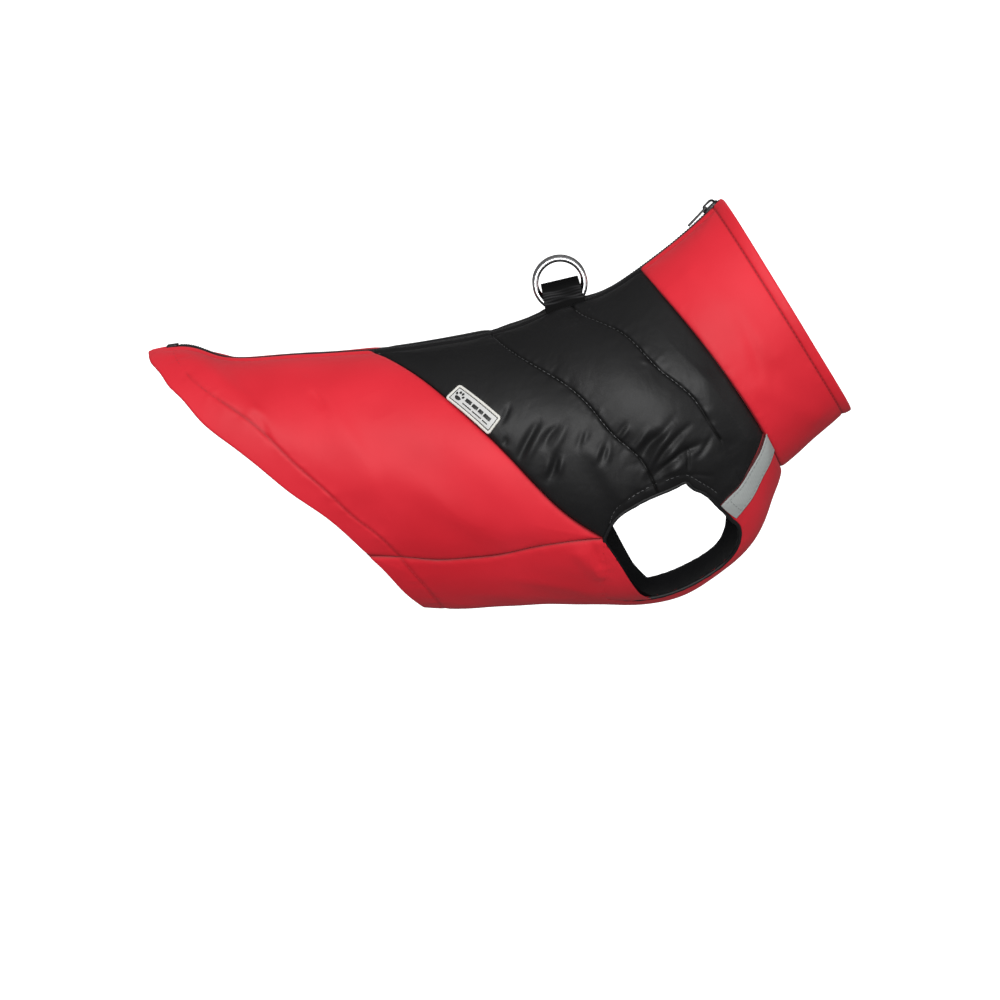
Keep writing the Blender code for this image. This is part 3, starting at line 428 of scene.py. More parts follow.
def crease_lift(points, normals, panel, side):
    """What the creases of one panel add at points."""
    lift = np.zeros(points.shape[:-1])
    rows = [row for name, where, rows in CREASES if name == panel and where in ("both", side) for row in rows]
    for route, half_width, height, *lean in rows:
        line = line_points(turned(along(route, np.linspace(0, 1, 9)), side))
        distance, place, segment = nearest(points, line)
        whole = np.linalg.norm(np.diff(line, axis=0), axis=1).sum()
        fade = np.sin(np.pi * np.clip(0.06 + 0.88 * place / whole, 0, 1)) ** 0.8
        heading = unit(np.diff(line, axis=0))[segment]
        aside = np.sign(((points - line[segment]) * np.cross(heading, normals)).sum(-1))
        width = half_width * (1 + (lean[0] if lean else 0.0) * aside)
        lift += height * fade * np.exp(-(distance / width) ** 2)
    return lift * (SIDE_CREASE_GAIN if panel == "side" else 1)


def fold_lift(points, panel, side):
    lift = np.zeros(points.shape[:-1])
    for name, where, x0, t0, x1, t1, half_width, height in FOLDS:
        if name == panel and where in ("both", side):
            ends = turned([(x0, t0), (x1, t1)], side)
            distance = nearest(points, line_points(ends))[0]
            lift += height * np.exp(-(distance / half_width) ** 2)
    return lift


def nearest_of(points, lines):
    return np.min([nearest(points, line)[0] for line in lines], axis=0)


def puff_lift(points, sewn, height):
    near = nearest_of(points, sewn)
    rise = 1 - np.minimum(near / PUFF_REACH, 1)
    return height * (1 - rise ** 2)


def pucker_lift(points, line, seed, pitch, reach, height, narrow=1.0):
    """Small uneven gathers that run off a sewn line, on both its sides."""
    draw = random.Random(seed)
    distance, place = nearest(points, line)[:2]
    whole = np.linalg.norm(np.diff(line, axis=0), axis=1).sum()
    lift = np.zeros(points.shape[:-1])
    at = pitch * draw.uniform(0.3, 1)
    while at < whole:
        width = draw.uniform(1.1, 2.3) * narrow
        strength = height * draw.uniform(0.25, 1) * draw.choice((1, 1, -1))
        skew = draw.uniform(-0.45, 0.45)
        far = reach * draw.uniform(0.5, 1.3)
        across = (place - at - skew * distance) / (width * (1 + 0.5 * distance / reach))
        lift += strength * np.exp(-across ** 2 - (distance / far) ** 2) * np.minimum(distance / 1.2, 1)
        at += pitch * draw.uniform(0.45, 1.7)
    return lift


def ripple_lift(points, seed, height):
    """A slow unevenness, so that no panel is quite smooth."""
    draw = random.Random(seed)
    lift = np.zeros(points.shape[:-1])
    for _ in range(7):
        length = draw.uniform(26, 85)
        way = unit(np.array([draw.gauss(0, 1), draw.gauss(0, 1), draw.gauss(0, 1)]))
        lift += np.sin(points @ way * 2 * math.pi / length + draw.uniform(0, 6.3)) * length / 85
    return lift * height / 2.2


def groove_lift(points, lines, depth, half_width):
    near = nearest_of(points, lines)
    return -depth * np.exp(-(near / half_width) ** 2)


def edge_drop(points, lines, radius, depth):
    """The cloth turns down over its edge: how far it drops beside these lines."""
    near = nearest_of(points, lines)
    share = 1 - np.clip(near / radius, 0, 1)
    return -depth * (1 - np.sqrt(np.maximum(1 - share ** 2, 0)))


# ---------------------------------------------------------------- materials

def new_material(name):
    material = bpy.data.materials.new(name)
    material.use_nodes = True
    tree = material.node_tree
    return material, tree, tree.nodes["Principled BSDF"]


def node(tree, kind, values=None, **settings):
    made = tree.nodes.new(kind)
    for key, value in settings.items():
        setattr(made, key, value)
    for key, value in (values or {}).items():
        made.inputs[key].default_value = value
    return made


def link(tree, source, target):
    tree.links.new(source, target)


def maths(tree, operation, first, second=None, clamp=False):
    made = node(tree, "ShaderNodeMath", operation=operation, use_clamp=clamp)
    for slot, value in zip(made.inputs, (first, second)):
        if value is None:
            continue
        if isinstance(value, (int, float)):
            slot.default_value = value
        else:
            link(tree, value, slot)
    return made.outputs[0]


def new_group(name, inputs, outputs):
    group = bpy.data.node_groups.new(name, "ShaderNodeTree")
    for title, kind, value in inputs:
        socket = group.interface.new_socket(title, in_out="INPUT", socket_type=kind)
        if value is not None:
            socket.default_value = value
    for title, kind in outputs:
        group.interface.new_socket(title, in_out="OUTPUT", socket_type=kind)
    return group, group.nodes.new("NodeGroupInput"), group.nodes.new("NodeGroupOutput")


def weave_group():
    """A plain weave on the cloth's own map: threads over and under, as a height from 0 to 1."""
    group, entry, result = new_group("plain_weave", (
        ("Map", "NodeSocketVector", None), ("Threads per metre", "NodeSocketFloat", 2200.0)),
        (("Height", "NodeSocketFloat"),))
    split = node(group, "ShaderNodeSeparateXYZ")
    link(group, entry.outputs["Map"], split.inputs[0])
    waves = []
    for axis in (0, 1):
        phase = maths(group, "MULTIPLY", split.outputs[axis], entry.outputs["Threads per metre"])
        waves.append(maths(group, "SINE", maths(group, "MULTIPLY", phase, math.pi)))
    over = maths(group, "MULTIPLY", waves[0], waves[1])
    link(group, maths(group, "MULTIPLY_ADD", over, 0.5), result.inputs["Height"])
    group.nodes[-1].inputs[2].default_value = 0.5
    return group


def crinkle_group():
    """Fine creasing of light nylon: long soft wrinkles and small dents, as a height, and a slow tone."""
    group, entry, result = new_group("nylon_crinkle", (
        ("Place", "NodeSocketVector", None), ("Size", "NodeSocketFloat", 60.0)),
        (("Height", "NodeSocketFloat"), ("Tone", "NodeSocketFloat")))
    stretch = node(group, "ShaderNodeMapping", {"Scale": (1.0, 1.0, 0.55), "Rotation": (0.0, 0.5, 0.0)})
    link(group, entry.outputs["Place"], stretch.inputs["Vector"])
    long_wrinkles = node(group, "ShaderNodeTexNoise", {"Detail": 3.0, "Roughness": 0.5, "Distortion": 0.6})
    link(group, stretch.outputs[0], long_wrinkles.inputs["Vector"])
    link(group, entry.outputs["Size"], long_wrinkles.inputs["Scale"])
    dents = node(group, "ShaderNodeTexNoise", {"Detail": 2.0, "Roughness": 0.4})
    link(group, entry.outputs["Place"], dents.inputs["Vector"])
    link(group, maths(group, "MULTIPLY", entry.outputs["Size"], 3.7), dents.inputs["Scale"])
    both = maths(group, "MULTIPLY_ADD", dents.outputs[0], 0.22)
    link(group, long_wrinkles.outputs[0], both.node.inputs[2])
    link(group, both, result.inputs["Height"])
    tone = node(group, "ShaderNodeTexNoise", {"Scale": 14.0, "Detail": 2.0})
    link(group, entry.outputs["Place"], tone.inputs["Vector"])
    link(group, tone.outputs[0], result.inputs["Tone"])
    return group


WEAVE = weave_group()
CRINKLE = crinkle_group()


def place_group(tree, group, values):
    made = tree.nodes.new("ShaderNodeGroup")
    made.node_tree = group
    for key, value in values.items():
        made.inputs[key].default_value = value
    return made


def bump(tree, height, strength, distance, under=None):
    made = node(tree, "ShaderNodeBump", {"Strength": strength, "Distance": distance})
    link(tree, height, made.inputs["Height"])
    if under is not None:
        link(tree, under, made.inputs["Normal"])
    return made.outputs[0]


def ramp(tree, value, stops):
    made = node(tree, "ShaderNodeValToRGB")
    elements = made.color_ramp.elements
    while len(elements) < len(stops):
        elements.new(0.5)
    for element, (position, colour) in zip(elements, stops):
        element.position = position
        element.color = (*colour, 1)
    link(tree, value, made.inputs[0])
    return made.outputs[0]


def cloth_material(name, colours, roughness, threads, weave_depth, crinkle, crinkle_depth, sheen=0.0,
                   sheen_tint=(1, 1, 1), level=0.5, roughness_swing=0.08):
    """Woven cloth: colours are its darker and its lighter tone."""
    material, tree, shader = new_material(name)
    where = node(tree, "ShaderNodeTexCoord")
    map_of_cloth = node(tree, "ShaderNodeUVMap", uv_map="cloth")
    weave = place_group(tree, WEAVE, {"Threads per metre": threads})
    link(tree, map_of_cloth.outputs[0], weave.inputs["Map"])
    creased = place_group(tree, CRINKLE, {"Size": crinkle})
    link(tree, where.outputs["Object"], creased.inputs["Place"])
    tone = maths(tree, "MULTIPLY_ADD", weave.outputs["Height"], 0.12)
    link(tree, creased.outputs["Tone"], tone.node.inputs[2])
    # Painted shade: where the shade attribute is high, the base colour is darkened towards black.
    dark = node(tree, "ShaderNodeAttribute", attribute_name="shade")
    shaded = node(tree, "ShaderNodeMix", data_type="RGBA", blend_type="MULTIPLY")
    shaded.inputs[7].default_value = (0.06, 0.06, 0.06, 1)
    link(tree, dark.outputs["Fac"], shaded.inputs["Factor"])
    link(tree, ramp(tree, tone, ((0.35, colours[0]), (0.75, colours[1]))), shaded.inputs[6])
    link(tree, shaded.outputs[2], shader.inputs["Base Color"])
    rough = maths(tree, "MULTIPLY_ADD", creased.outputs["Tone"], roughness_swing)
    rough.node.inputs[2].default_value = roughness - roughness_swing / 2
    link(tree, rough, shader.inputs["Roughness"])
    normal = bump(tree, creased.outputs["Height"], 1.0, crinkle_depth * MM)
    normal = bump(tree, weave.outputs["Height"], 1.0, weave_depth * MM, normal)
    link(tree, normal, shader.inputs["Normal"])
    shader.inputs["Sheen Weight"].default_value = sheen
    shader.inputs["Sheen Roughness"].default_value = 0.45
    shader.inputs["Sheen Tint"].default_value = (*sheen_tint, 1)
    shader.inputs["Specular IOR Level"].default_value = level
    return material


def grain_material(name, colours, roughness, scale, depth, metallic=0.0, level=0.5, coat=0.0):
    """A moulded or cast finish: a fine grain in colour, gloss and height."""
    material, tree, shader = new_material(name)
    where = node(tree, "ShaderNodeTexCoord")
    grain = node(tree, "ShaderNodeTexNoise", {"Scale": scale, "Detail": 4.0, "Roughness": 0.6})
    link(tree, where.outputs["Object"], grain.inputs["Vector"])
    link(tree, ramp(tree, grain.outputs[0], ((0.3, colours[0]), (0.7, colours[1]))),
         shader.inputs["Base Color"])
    rough = maths(tree, "MULTIPLY_ADD", grain.outputs[0], 0.12)
    rough.node.inputs[2].default_value = roughness - 0.06
    link(tree, rough, shader.inputs["Roughness"])
    link(tree, bump(tree, grain.outputs[0], 1.0, depth * MM), shader.inputs["Normal"])
    shader.inputs["Metallic"].default_value = metallic
    shader.inputs["Specular IOR Level"].default_value = level
    shader.inputs["Coat Weight"].default_value = coat
    return material


red_nylon = cloth_material("red_nylon", ((0.70, 0.012, 0.026), (0.84, 0.022, 0.041)), 0.60, 4000, 0.012,
                           34, 0.5, sheen=0.08, sheen_tint=(1.0, 0.4, 0.45), level=0.4)
black_nylon = cloth_material("black_nylon", ((0.0035, 0.0035, 0.004), (0.006, 0.006, 0.0065)), 0.52, 4200,
                             0.012, 46, 0.8, level=0.38)
lining = cloth_material("black_lining", ((0.005, 0.005, 0.006), (0.009, 0.009, 0.010)), 0.5, 4000, 0.012, 30,
                        0.9, level=0.3)
# Lighter than the webbing looks: the shade attribute darkens it everywhere but along its ribs, which show as
# painted highlights.
webbing_cloth = cloth_material("black_webbing", ((0.035, 0.035, 0.037), (0.06, 0.06, 0.062)), 0.7, 1600, 0.06,
                               150, 0.2, level=0.06)
tape_cloth = cloth_material("black_zip", ((0.004, 0.004, 0.005), (0.008, 0.008, 0.009)), 0.65, 1200, 0.06,
                            120, 0.12, level=0.3)
strip_cloth = cloth_material("reflective_grey", ((0.34, 0.37, 0.362), (0.44, 0.465, 0.455)), 0.42, 1000, 0.05,
                             70, 0.3, level=0.6)
edging_cloth = grain_material("black_edging", ((0.004, 0.004, 0.005), (0.009, 0.009, 0.010)), 0.55, 1500,
                              0.04, level=0.4)
red_thread = grain_material("red_thread", ((0.46, 0.012, 0.022), (0.68, 0.026, 0.044)), 0.55, 2600, 0.03)
# Black thread whose lighter grey tone is partly a painted highlight, so the stitches show as light dots.
black_thread = grain_material("black_thread", ((0.035, 0.035, 0.037), (0.14, 0.14, 0.145)), 0.4, 900, 0.03,
                              level=0.6)
grey_thread = grain_material("grey_thread", ((0.12, 0.13, 0.13), (0.22, 0.23, 0.23)), 0.5, 2600, 0.03)
coil_nylon = grain_material("black_coil", ((0.005, 0.005, 0.006), (0.010, 0.010, 0.011)), 0.42, 900, 0.01,
                            level=0.45)
black_enamel = grain_material("dark_metal", ((0.006, 0.006, 0.007), (0.013, 0.013, 0.014)), 0.34, 500, 0.01,
                              coat=0.15, level=0.4)
polished = grain_material("chrome", ((0.40, 0.40, 0.41), (0.54, 0.54, 0.55)), 0.2, 160, 0.006, metallic=1.0)
label_cream = grain_material("label_cream", ((0.74, 0.73, 0.68), (0.84, 0.83, 0.78)), 0.5, 1400, 0.02)
label_ground = grain_material("label_ground", ((0.62, 0.62, 0.61), (0.74, 0.74, 0.73)), 0.42, 2400, 0.03)
label_dark = grain_material("label_dark", ((0.008, 0.008, 0.008), (0.02, 0.02, 0.02)), 0.5, 1400, 0.02)


# ---------------------------------------------------------------- meshes

def finished(name, bm, *materials, sharp=None):
    """An object in metres from a bmesh in mm, with its materials."""
    bmesh.ops.scale(bm, vec=(MM, MM, MM), verts=bm.verts)
    mesh = bpy.data.meshes.new(name)
    bm.to_mesh(mesh)
    bm.free()
    mesh.shade_smooth()
    if sharp:
        mesh.set_sharp_from_angle(angle=math.radians(sharp))
    for material in materials:
        mesh.materials.append(material)
    obj = bpy.data.objects.new(name, mesh)
    bpy.context.scene.collection.objects.link(obj)
    return obj


def outwards(bm):
    bmesh.ops.recalc_face_normals(bm, faces=bm.faces)
    if bm.calc_volume(signed=True) < 0:
        bmesh.ops.reverse_faces(bm, faces=bm.faces)


def drawn_in(layer, amount):
    """Draws a sheet's border points in from the seam, square to it."""
    push = np.zeros_like(layer)
    for swap in (False, True):
        sheet = np.swapaxes(layer, 0, 1) if swap else layer
        part = np.swapaxes(push, 0, 1) if swap else push
        run = np.gradient(sheet, axis=1)
        for edge, inner in ((0, 3), (-1, -4)):
            into = sheet[inner] - sheet[edge]
            tangent = run[edge]
            share = (into * tangent).sum(-1, keepdims=True) / (tangent ** 2).sum(-1, keepdims=True)
            part[edge] += unit(into - tangent * share)
    return layer + push * amount


def sheet_body(name, outer, inner, cloth_map, *materials, tone=None, shade=None, inner_shade=0.0):
    """A closed sheet between two layers of points. The inner face takes the second material, or else each
    face takes the material whose number in tone its points share."""
    columns = outer.shape[1]
    bm = bmesh.new()
    bmesh.ops.create_grid(bm, x_segments=columns - 1, y_segments=len(outer) - 1, size=1)
    place = bm.verts.layers.int.new("place")
    inside = bm.verts.layers.int.new("inside")
    dark = bm.verts.layers.float.new("shade")
    for index, vert in enumerate(bm.verts):
        vert[place] = index
    made = bmesh.ops.extrude_face_region(bm, geom=bm.faces[:])["geom"]
    for item in made:
        if isinstance(item, bmesh.types.BMVert):
            item[inside] = 1
    # Painted shade: a darkening of the colour at each outer point; the inner points take inner_shade.
    if shade is not None:
        darkness = shade.reshape(-1)
        for vert in bm.verts:
            vert[dark] = inner_shade if vert[inside] else float(darkness[vert[place]])
    layers = (outer.reshape(-1, 3), inner.reshape(-1, 3))
    for vert in bm.verts:
        vert.co = layers[vert[inside]][vert[place]]
    outwards(bm)
    uv = bm.loops.layers.uv.new("cloth")
    flat_map = cloth_map.reshape(-1, 2)
    tones = None if tone is None else tone.reshape(-1)
    for face in bm.faces:
        if tone is None:
            face.material_index = int(len(materials) > 1 and all(vert[inside] for vert in face.verts))
        else:
            face.material_index = int(min(tones[vert[place]] for vert in face.verts))
        for loop in face.loops:
            loop[uv].uv = flat_map[loop.vert[place]]
    return finished(name, bm, *materials)


def cloth_panel(name, places, relief, edges, materials, rebate=()):
    """A padded panel: the outer cloth over its padding, and the plain lining a wall's depth below. Beside the
    rebate's lines it is a single folded cloth, which lies on the zip's tape."""
    points, normals = spots(places)
    lift = relief(points, normals)
    depth = np.full(points.shape[:-1], WALL)
    for lines, radius, drop, both in edges:
        sunk = edge_drop(points, lines, radius, drop)
        lift = lift + sunk
        if both:
            depth = depth + sunk
    if rebate:
        near = nearest_of(points, rebate)
        share = np.clip((near - REBATE_WIDTH) / REBATE_SLOPE, 0, 1)
        depth = share * depth + (1 - share) * np.maximum(REBATE_DEPTH, -lift)
    outer = drawn_in(points + normals * lift[..., None], SEWN_GAP / 2)
    inner = drawn_in(points - normals * depth[..., None], SEWN_GAP / 8)
    # The outer face carries the relief's painted shade beside its sewn lines.
    return sheet_body(name, outer, inner, places * [MM, TURN_MM * MM], *materials, shade=relief.shade(points))


def thread(name, places, side, relief, material, stitch=2.5, space=0.8, width=0.5, rise=0.05, seed=1):
    """Single stitches along a line of places, each a slim bead that lies in its groove."""
    places = turned(places, side)
    points, normals = spots(places)
    points = points + normals * (relief(points, normals) + rise)[..., None]
    lengths = np.concatenate([[0], np.cumsum(np.linalg.norm(np.diff(points, axis=0), axis=1))])
    draw = random.Random(seed)
    bm = bmesh.new()
    at = stitch
    while at < lengths[-1] - stitch / 2:
        ends = [np.array([np.interp(at + shift, lengths, points[:, k]) for k in range(3)])
                for shift in (-stitch / 2, stitch / 2)]
        up = np.array([np.interp(at, lengths, normals[:, k]) for k in range(3)])
        run = Vector(ends[1] - ends[0]).normalized()
        side_way = Vector(up).cross(run).normalized()
        turned_by = Matrix((run, side_way, run.cross(side_way))).transposed().to_4x4()
        middle = Vector((ends[0] + ends[1]) / 2)
        size = Matrix.Diagonal((stitch / 2 * draw.uniform(0.9, 1.05), width / 2, width / 2 * 0.8, 1))
        tilt = Matrix.Rotation(draw.uniform(-0.08, 0.08), 4, "Z")
        bmesh.ops.create_uvsphere(bm, u_segments=6, v_segments=4, radius=1,
                                  matrix=Matrix.Translation(middle) @ turned_by @ tilt
                                  @ size @ Matrix.Rotation(math.pi / 2, 4, "Y"))
        at += stitch + space * draw.uniform(0.7, 1.3)
    return finished(name, bm, material)


# ---------------------------------------------------------------- shared seam lines on the right side

def seam(rows, start_x=None):
    return from_zip(start_x, rows, SEAM_SHARES) if start_x is not None else along(rows, SEAM_SHARES)


NECK_TURN_START = float(turn_beside_zip(np.array([NECK_SEAM_X]), CLOTH_EDGE)[0])
NECK_CORNER_TURN = FRONT_SEAM_HIGH[-1][1]


def round_ring(station, turns):
    turns = np.asarray(turns, float)
    return np.stack([ring_point(station, turns)[..., 0], turns], -1)


ARMHOLE_UPPER = ARMHOLE_REAR_TOP + ARMHOLE_TOP[1:] + ARMHOLE_FRONT_TOP[1:]
FRONT_SEAM = FRONT_SEAM_LOW + FRONT_SEAM_HIGH[1:]
LINES = {
    "hem": seam(HEM, HEM_START_X),
    "rear_seam": seam(REAR_SEAM, REAR_SEAM_X),
    "quilt_a": seam(QUILT_A, QUILT_A_X),
    "quilt_b": seam(QUILT_B, QUILT_B_X),
    "side_seam": seam(SIDE_SEAM),
    "belly_hem": seam(BELLY_HEM),
    "armhole_upper": along(ARMHOLE_UPPER, np.linspace(0, 1, 40)),
    "armhole_low": along(ARMHOLE_LOW, np.linspace(0, 1, 60)),
    "front_seam": seam(FRONT_SEAM),
    "neck_side": round_ring(NECK_STATION, np.linspace(NECK_TURN_START, NECK_CORNER_TURN, 33)),
    "neck_under": round_ring(NECK_STATION, np.linspace(NECK_CORNER_TURN, 180, 15)),
    "rear_zip": beside_zip(HEM_START_X, REAR_SEAM_X, SEAM_SHARES, CLOTH_EDGE),
    "side_zip": beside_zip(REAR_SEAM_X, NECK_SEAM_X, SEAM_SHARES, CLOTH_EDGE),
    "hem_stitch": seam(HEM_STITCH),
    "belly_stitch": seam(BELLY_STITCH),
    "armhole_stitch": seam(ARMHOLE_STITCH),
    "armhole_facing": seam(ARMHOLE_FACING),
    "rear_zip_stitch": beside_zip(HEM_START_X + 15, REAR_SEAM_X - 1, SEAM_SHARES, ZIP_STITCH),
    "side_zip_stitch": beside_zip(REAR_SEAM_X + 2, NECK_SEAM_X - 1, SEAM_SHARES, ZIP_STITCH),
    "neck_zip_stitch": beside_zip(NECK_SEAM_X + 1, COLLAR_X - 7, SEAM_SHARES, ZIP_STITCH),
}


def lines_of(*names, side="right"):
    return [line_points(turned(LINES[name], side)) for name in names]


def both_sides(*names):
    return lines_of(*names) + lines_of(*names, side="left")


# ---------------------------------------------------------------- reliefs of the panels

class Relief:
    """Heights over the form at points: padding, folds, creases, grooves at sewn lines and their gathers."""

    def __init__(self, panel, sides, sewn, puff, ripple, seed):
        self.panel, self.sides, self.sewn, self.puff = panel, sides, sewn, puff
        self.ripple, self.seed = ripple, seed
        self.grooves, self.gathers, self.darks = [], [], []

    def groove(self, lines, depth, half_width):
        """A trough along lines, or with a depth below 0 a ridge."""
        self.grooves.append((lines, depth, half_width))

    def gather(self, lines, pitch, reach, height, narrow=1.0):
        self.gathers += [(line, pitch, reach, height, narrow) for line in lines]

    def darken(self, lines, amount, half_width):
        """Painted shade in a sewn line, finer than the mesh can sink it."""
        self.darks.append((lines, amount, half_width))

    # Painted shade: how dark the cloth is painted beside the darkened lines, from 0 to 1.
    def shade(self, points):
        shade = np.zeros(points.shape[:-1])
        for lines, amount, half_width in self.darks:
            shade = np.maximum(shade, -groove_lift(points, lines, amount, half_width))
        return shade

    def broad(self, points):
        lift = puff_lift(points, self.sewn, self.puff) + ripple_lift(points, self.seed, self.ripple)
        for side in self.sides:
            lift += fold_lift(points, self.panel, side)
        return lift

    def __call__(self, points, normals):
        lift = self.broad(points)
        for side in self.sides:
            lift += crease_lift(points, normals, self.panel, side)
        for lines, depth, half_width in self.grooves:
            lift += groove_lift(points, lines, depth, half_width)
        for number, (line, *gather) in enumerate(self.gathers):
            lift += pucker_lift(points, line, self.seed * 100 + number, *gather)
        return lift


EDGE_RISE = {"right": 0.95, "left": 0.25}  # how far the folded edges beside the zip stand up
EDGE_RISE_WIDTH = 3.0
HEM_FAINT = 5  # of the hem stitch line's points, from the zip: there it hardly shows
QUILT_B_SEWN = 28  # of the second quilt line's points: its lower end is only a dip between the channels


def rear_relief(side):
    own = partial(lines_of, side=side)
    sewn = own("hem", "rear_seam", "rear_zip", "rear_zip_stitch", "side_seam")
    relief = Relief("rear", (side,), sewn, PUFF_RED, 0.55, 3 if side == "right" else 4)
    relief.groove(own("rear_seam", "side_seam"), 0.7, 1.7)
    relief.groove([line[HEM_FAINT:] for line in own("hem_stitch")], 0.5, 1.1)
    relief.groove(own("rear_zip_stitch"), 0.25, 0.9)
    relief.groove(own("rear_zip"), -EDGE_RISE[side], EDGE_RISE_WIDTH)
    relief.gather(own("hem_stitch"), 4.6, 5.0, 0.36)
    relief.gather(own("hem_stitch"), 2.9, 2.4, 0.24, 0.75)
    relief.gather(own("rear_seam"), 9.0, 5.0, 0.22)
    relief.gather(own("side_seam"), 5.0, 4.0, 0.3)
    # Painted shade in the seams and along the hem stitch.
    relief.darken(own("rear_seam", "side_seam"), 0.75, 0.8)
    relief.darken([line[HEM_FAINT:] for line in own("hem_stitch")], 0.16, 0.9)
    relief.darken([line[2 * HEM_FAINT:] for line in own("hem_stitch")], 0.34, 0.9)
    return relief


def side_relief(side):
    own = partial(lines_of, side=side)
    sewn = own("rear_seam", "quilt_a", "quilt_b", "neck_side", "armhole_upper", "front_seam", "side_zip",
               "side_zip_stitch")
    relief = Relief("side", (side,), sewn, PUFF_CHANNEL, 0.6, 5 if side == "right" else 6)
    quilts = own("quilt_a") + [line[:QUILT_B_SEWN] for line in own("quilt_b")]
    relief.groove(quilts, 0.75, 0.85)
    relief.groove(own("rear_seam", "neck_side", "front_seam"), 0.8, 1.7)
    relief.groove(own("armhole_stitch"), 0.5, 0.9)
    relief.groove(own("side_zip_stitch"), 0.3, 0.9)
    relief.groove(own("armhole_facing"), 0.7, 0.8)
    relief.groove(own("side_zip"), -EDGE_RISE[side], EDGE_RISE_WIDTH)
    relief.gather(own("quilt_a", "quilt_b"), 7.0, 7.0, 0.42)
    relief.gather(own("quilt_a", "quilt_b"), 2.9, 2.6, 0.34, 0.72)
    relief.gather(own("rear_seam", "neck_side"), 8.0, 5.0, 0.3)
    relief.gather(own("armhole_stitch"), 5.0, 5.0, 0.4, 0.9)
    # Painted shade in the quilt lines and the seams.
    relief.darken(quilts, 0.85, 0.8)
    relief.darken(own("rear_seam", "neck_side", "front_seam"), 0.8, 0.9)
    return relief


def under_relief():
    names = ("side_seam", "armhole_low", "front_seam", "neck_under", "belly_hem")
    relief = Relief("under", SIDES, both_sides(*names), PUFF_UNDER, 0.5, 7)
    relief.groove(both_sides("side_seam", "front_seam", "neck_under"), 0.7, 1.7)
    relief.groove(both_sides("belly_stitch"), 0.4, 1.3)
    relief.gather(both_sides("belly_stitch"), 6.0, 6.0, 0.3)
    relief.gather(both_sides("side_seam"), 5.0, 4.0, 0.3)
    relief.gather(both_sides("neck_under"), 9.0, 6.0, 0.3)
    relief.gather(both_sides("armhole_low"), 9.0, 5.0, 0.35)
    # Painted shade in the seams and the belly stitch; at the front seam it is strong and wide, and darkens
    # the red cloth between the strip and the black panel.
    relief.darken(both_sides("side_seam", "neck_under"), 0.75, 0.8)
    relief.darken(both_sides("front_seam"), 0.98, 4.0)
    relief.darken(both_sides("belly_stitch"), 0.25, 1.2)
    return relief


COLLAR_BAND_STATIONS = (COLLAR_STATION - NECK_STATION) * COLLAR_BAND / COLLAR_DEPTH
NECK_TURNS = np.linspace(NECK_TURN_START, 180, 50)
COLLAR_STITCH_TURN = 2.6


def neck_relief():
    zip_start = turn_beside_zip(np.array([COLLAR_X]), CLOTH_EDGE)[0]
    stations = np.linspace(NECK_STATION, COLLAR_STATION, 40)
    zip_edge = np.stack([ring_point(stations, zip_start)[..., 0], np.full(40, zip_start)], -1)
    bands = [line_points(turned(round_ring(COLLAR_STATION - COLLAR_BAND_STATIONS, NECK_TURNS), side))
             for side in SIDES]
    rims = [line_points(turned(round_ring(COLLAR_STATION - COLLAR_BAND_STATIONS / 2, NECK_TURNS), side))
            for side in SIDES]
    zips = [line_points(turned(zip_edge, side)) for side in SIDES]
    sewn = both_sides("neck_side", "neck_under", "neck_zip_stitch") + bands + zips
    relief = Relief("neck", SIDES, sewn, PUFF_NECK, 0.4, 8)
    relief.groove(both_sides("neck_side", "neck_under"), 0.7, 1.7)
    relief.groove(bands, 0.45, 0.7)
    relief.groove(rims, -0.35, 2.4)
    relief.groove(both_sides("neck_zip_stitch"), 0.25, 0.9)
    for line, side in zip(zips, SIDES):
        relief.groove([line], -EDGE_RISE[side], EDGE_RISE_WIDTH)
    relief.gather(bands, 5.0, 4.0, 0.16)
    relief.gather(both_sides("neck_side", "neck_under"), 8.0, 5.0, 0.25)
    # Painted shade in the seams and along the collar's stitched band.
    relief.darken(both_sides("neck_side", "neck_under"), 0.75, 0.8)
    relief.darken(bands, 0.7, 0.55)
    return relief


RELIEFS = {("rear", side): rear_relief(side) for side in SIDES}
RELIEFS.update({("side", side): side_relief(side) for side in SIDES})
RELIEFS["under"] = under_relief()
RELIEFS["neck"] = neck_relief()


# ---------------------------------------------------------------- the padded panels

PITCH = 1.35
SIDE_PITCH = 1.15
SEAM_ROUND = 0.8
EDGE_ROUND = 1.2
FOLD_ROUND, FOLD_DROP = 0.5, 0.4  # at the folded edges beside the zip


def rear_cloth(side):
    around, ahead = crowded(205, PITCH), crowded(140, PITCH)
    hem, rear_seam = from_zip(HEM_START_X, HEM, around), from_zip(REAR_SEAM_X, REAR_SEAM, around)
    zip_edge = beside_zip(HEM_START_X, REAR_SEAM_X, ahead, CLOTH_EDGE)
    grid = turned(blended(hem, rear_seam, zip_edge, along(SIDE_SEAM, ahead), around, ahead), side)
    zips = lines_of("rear_zip", side=side)
    edges = ((lines_of("hem", side=side), EDGE_ROUND, EDGE_ROUND, True), (zips, FOLD_ROUND, FOLD_DROP, False),
             (lines_of("rear_seam", "side_seam", side=side), SEAM_ROUND, SEAM_ROUND, False))
    return cloth_panel("rear_cloth_" + side, grid, RELIEFS["rear", side], edges, (red_nylon, lining), zips)


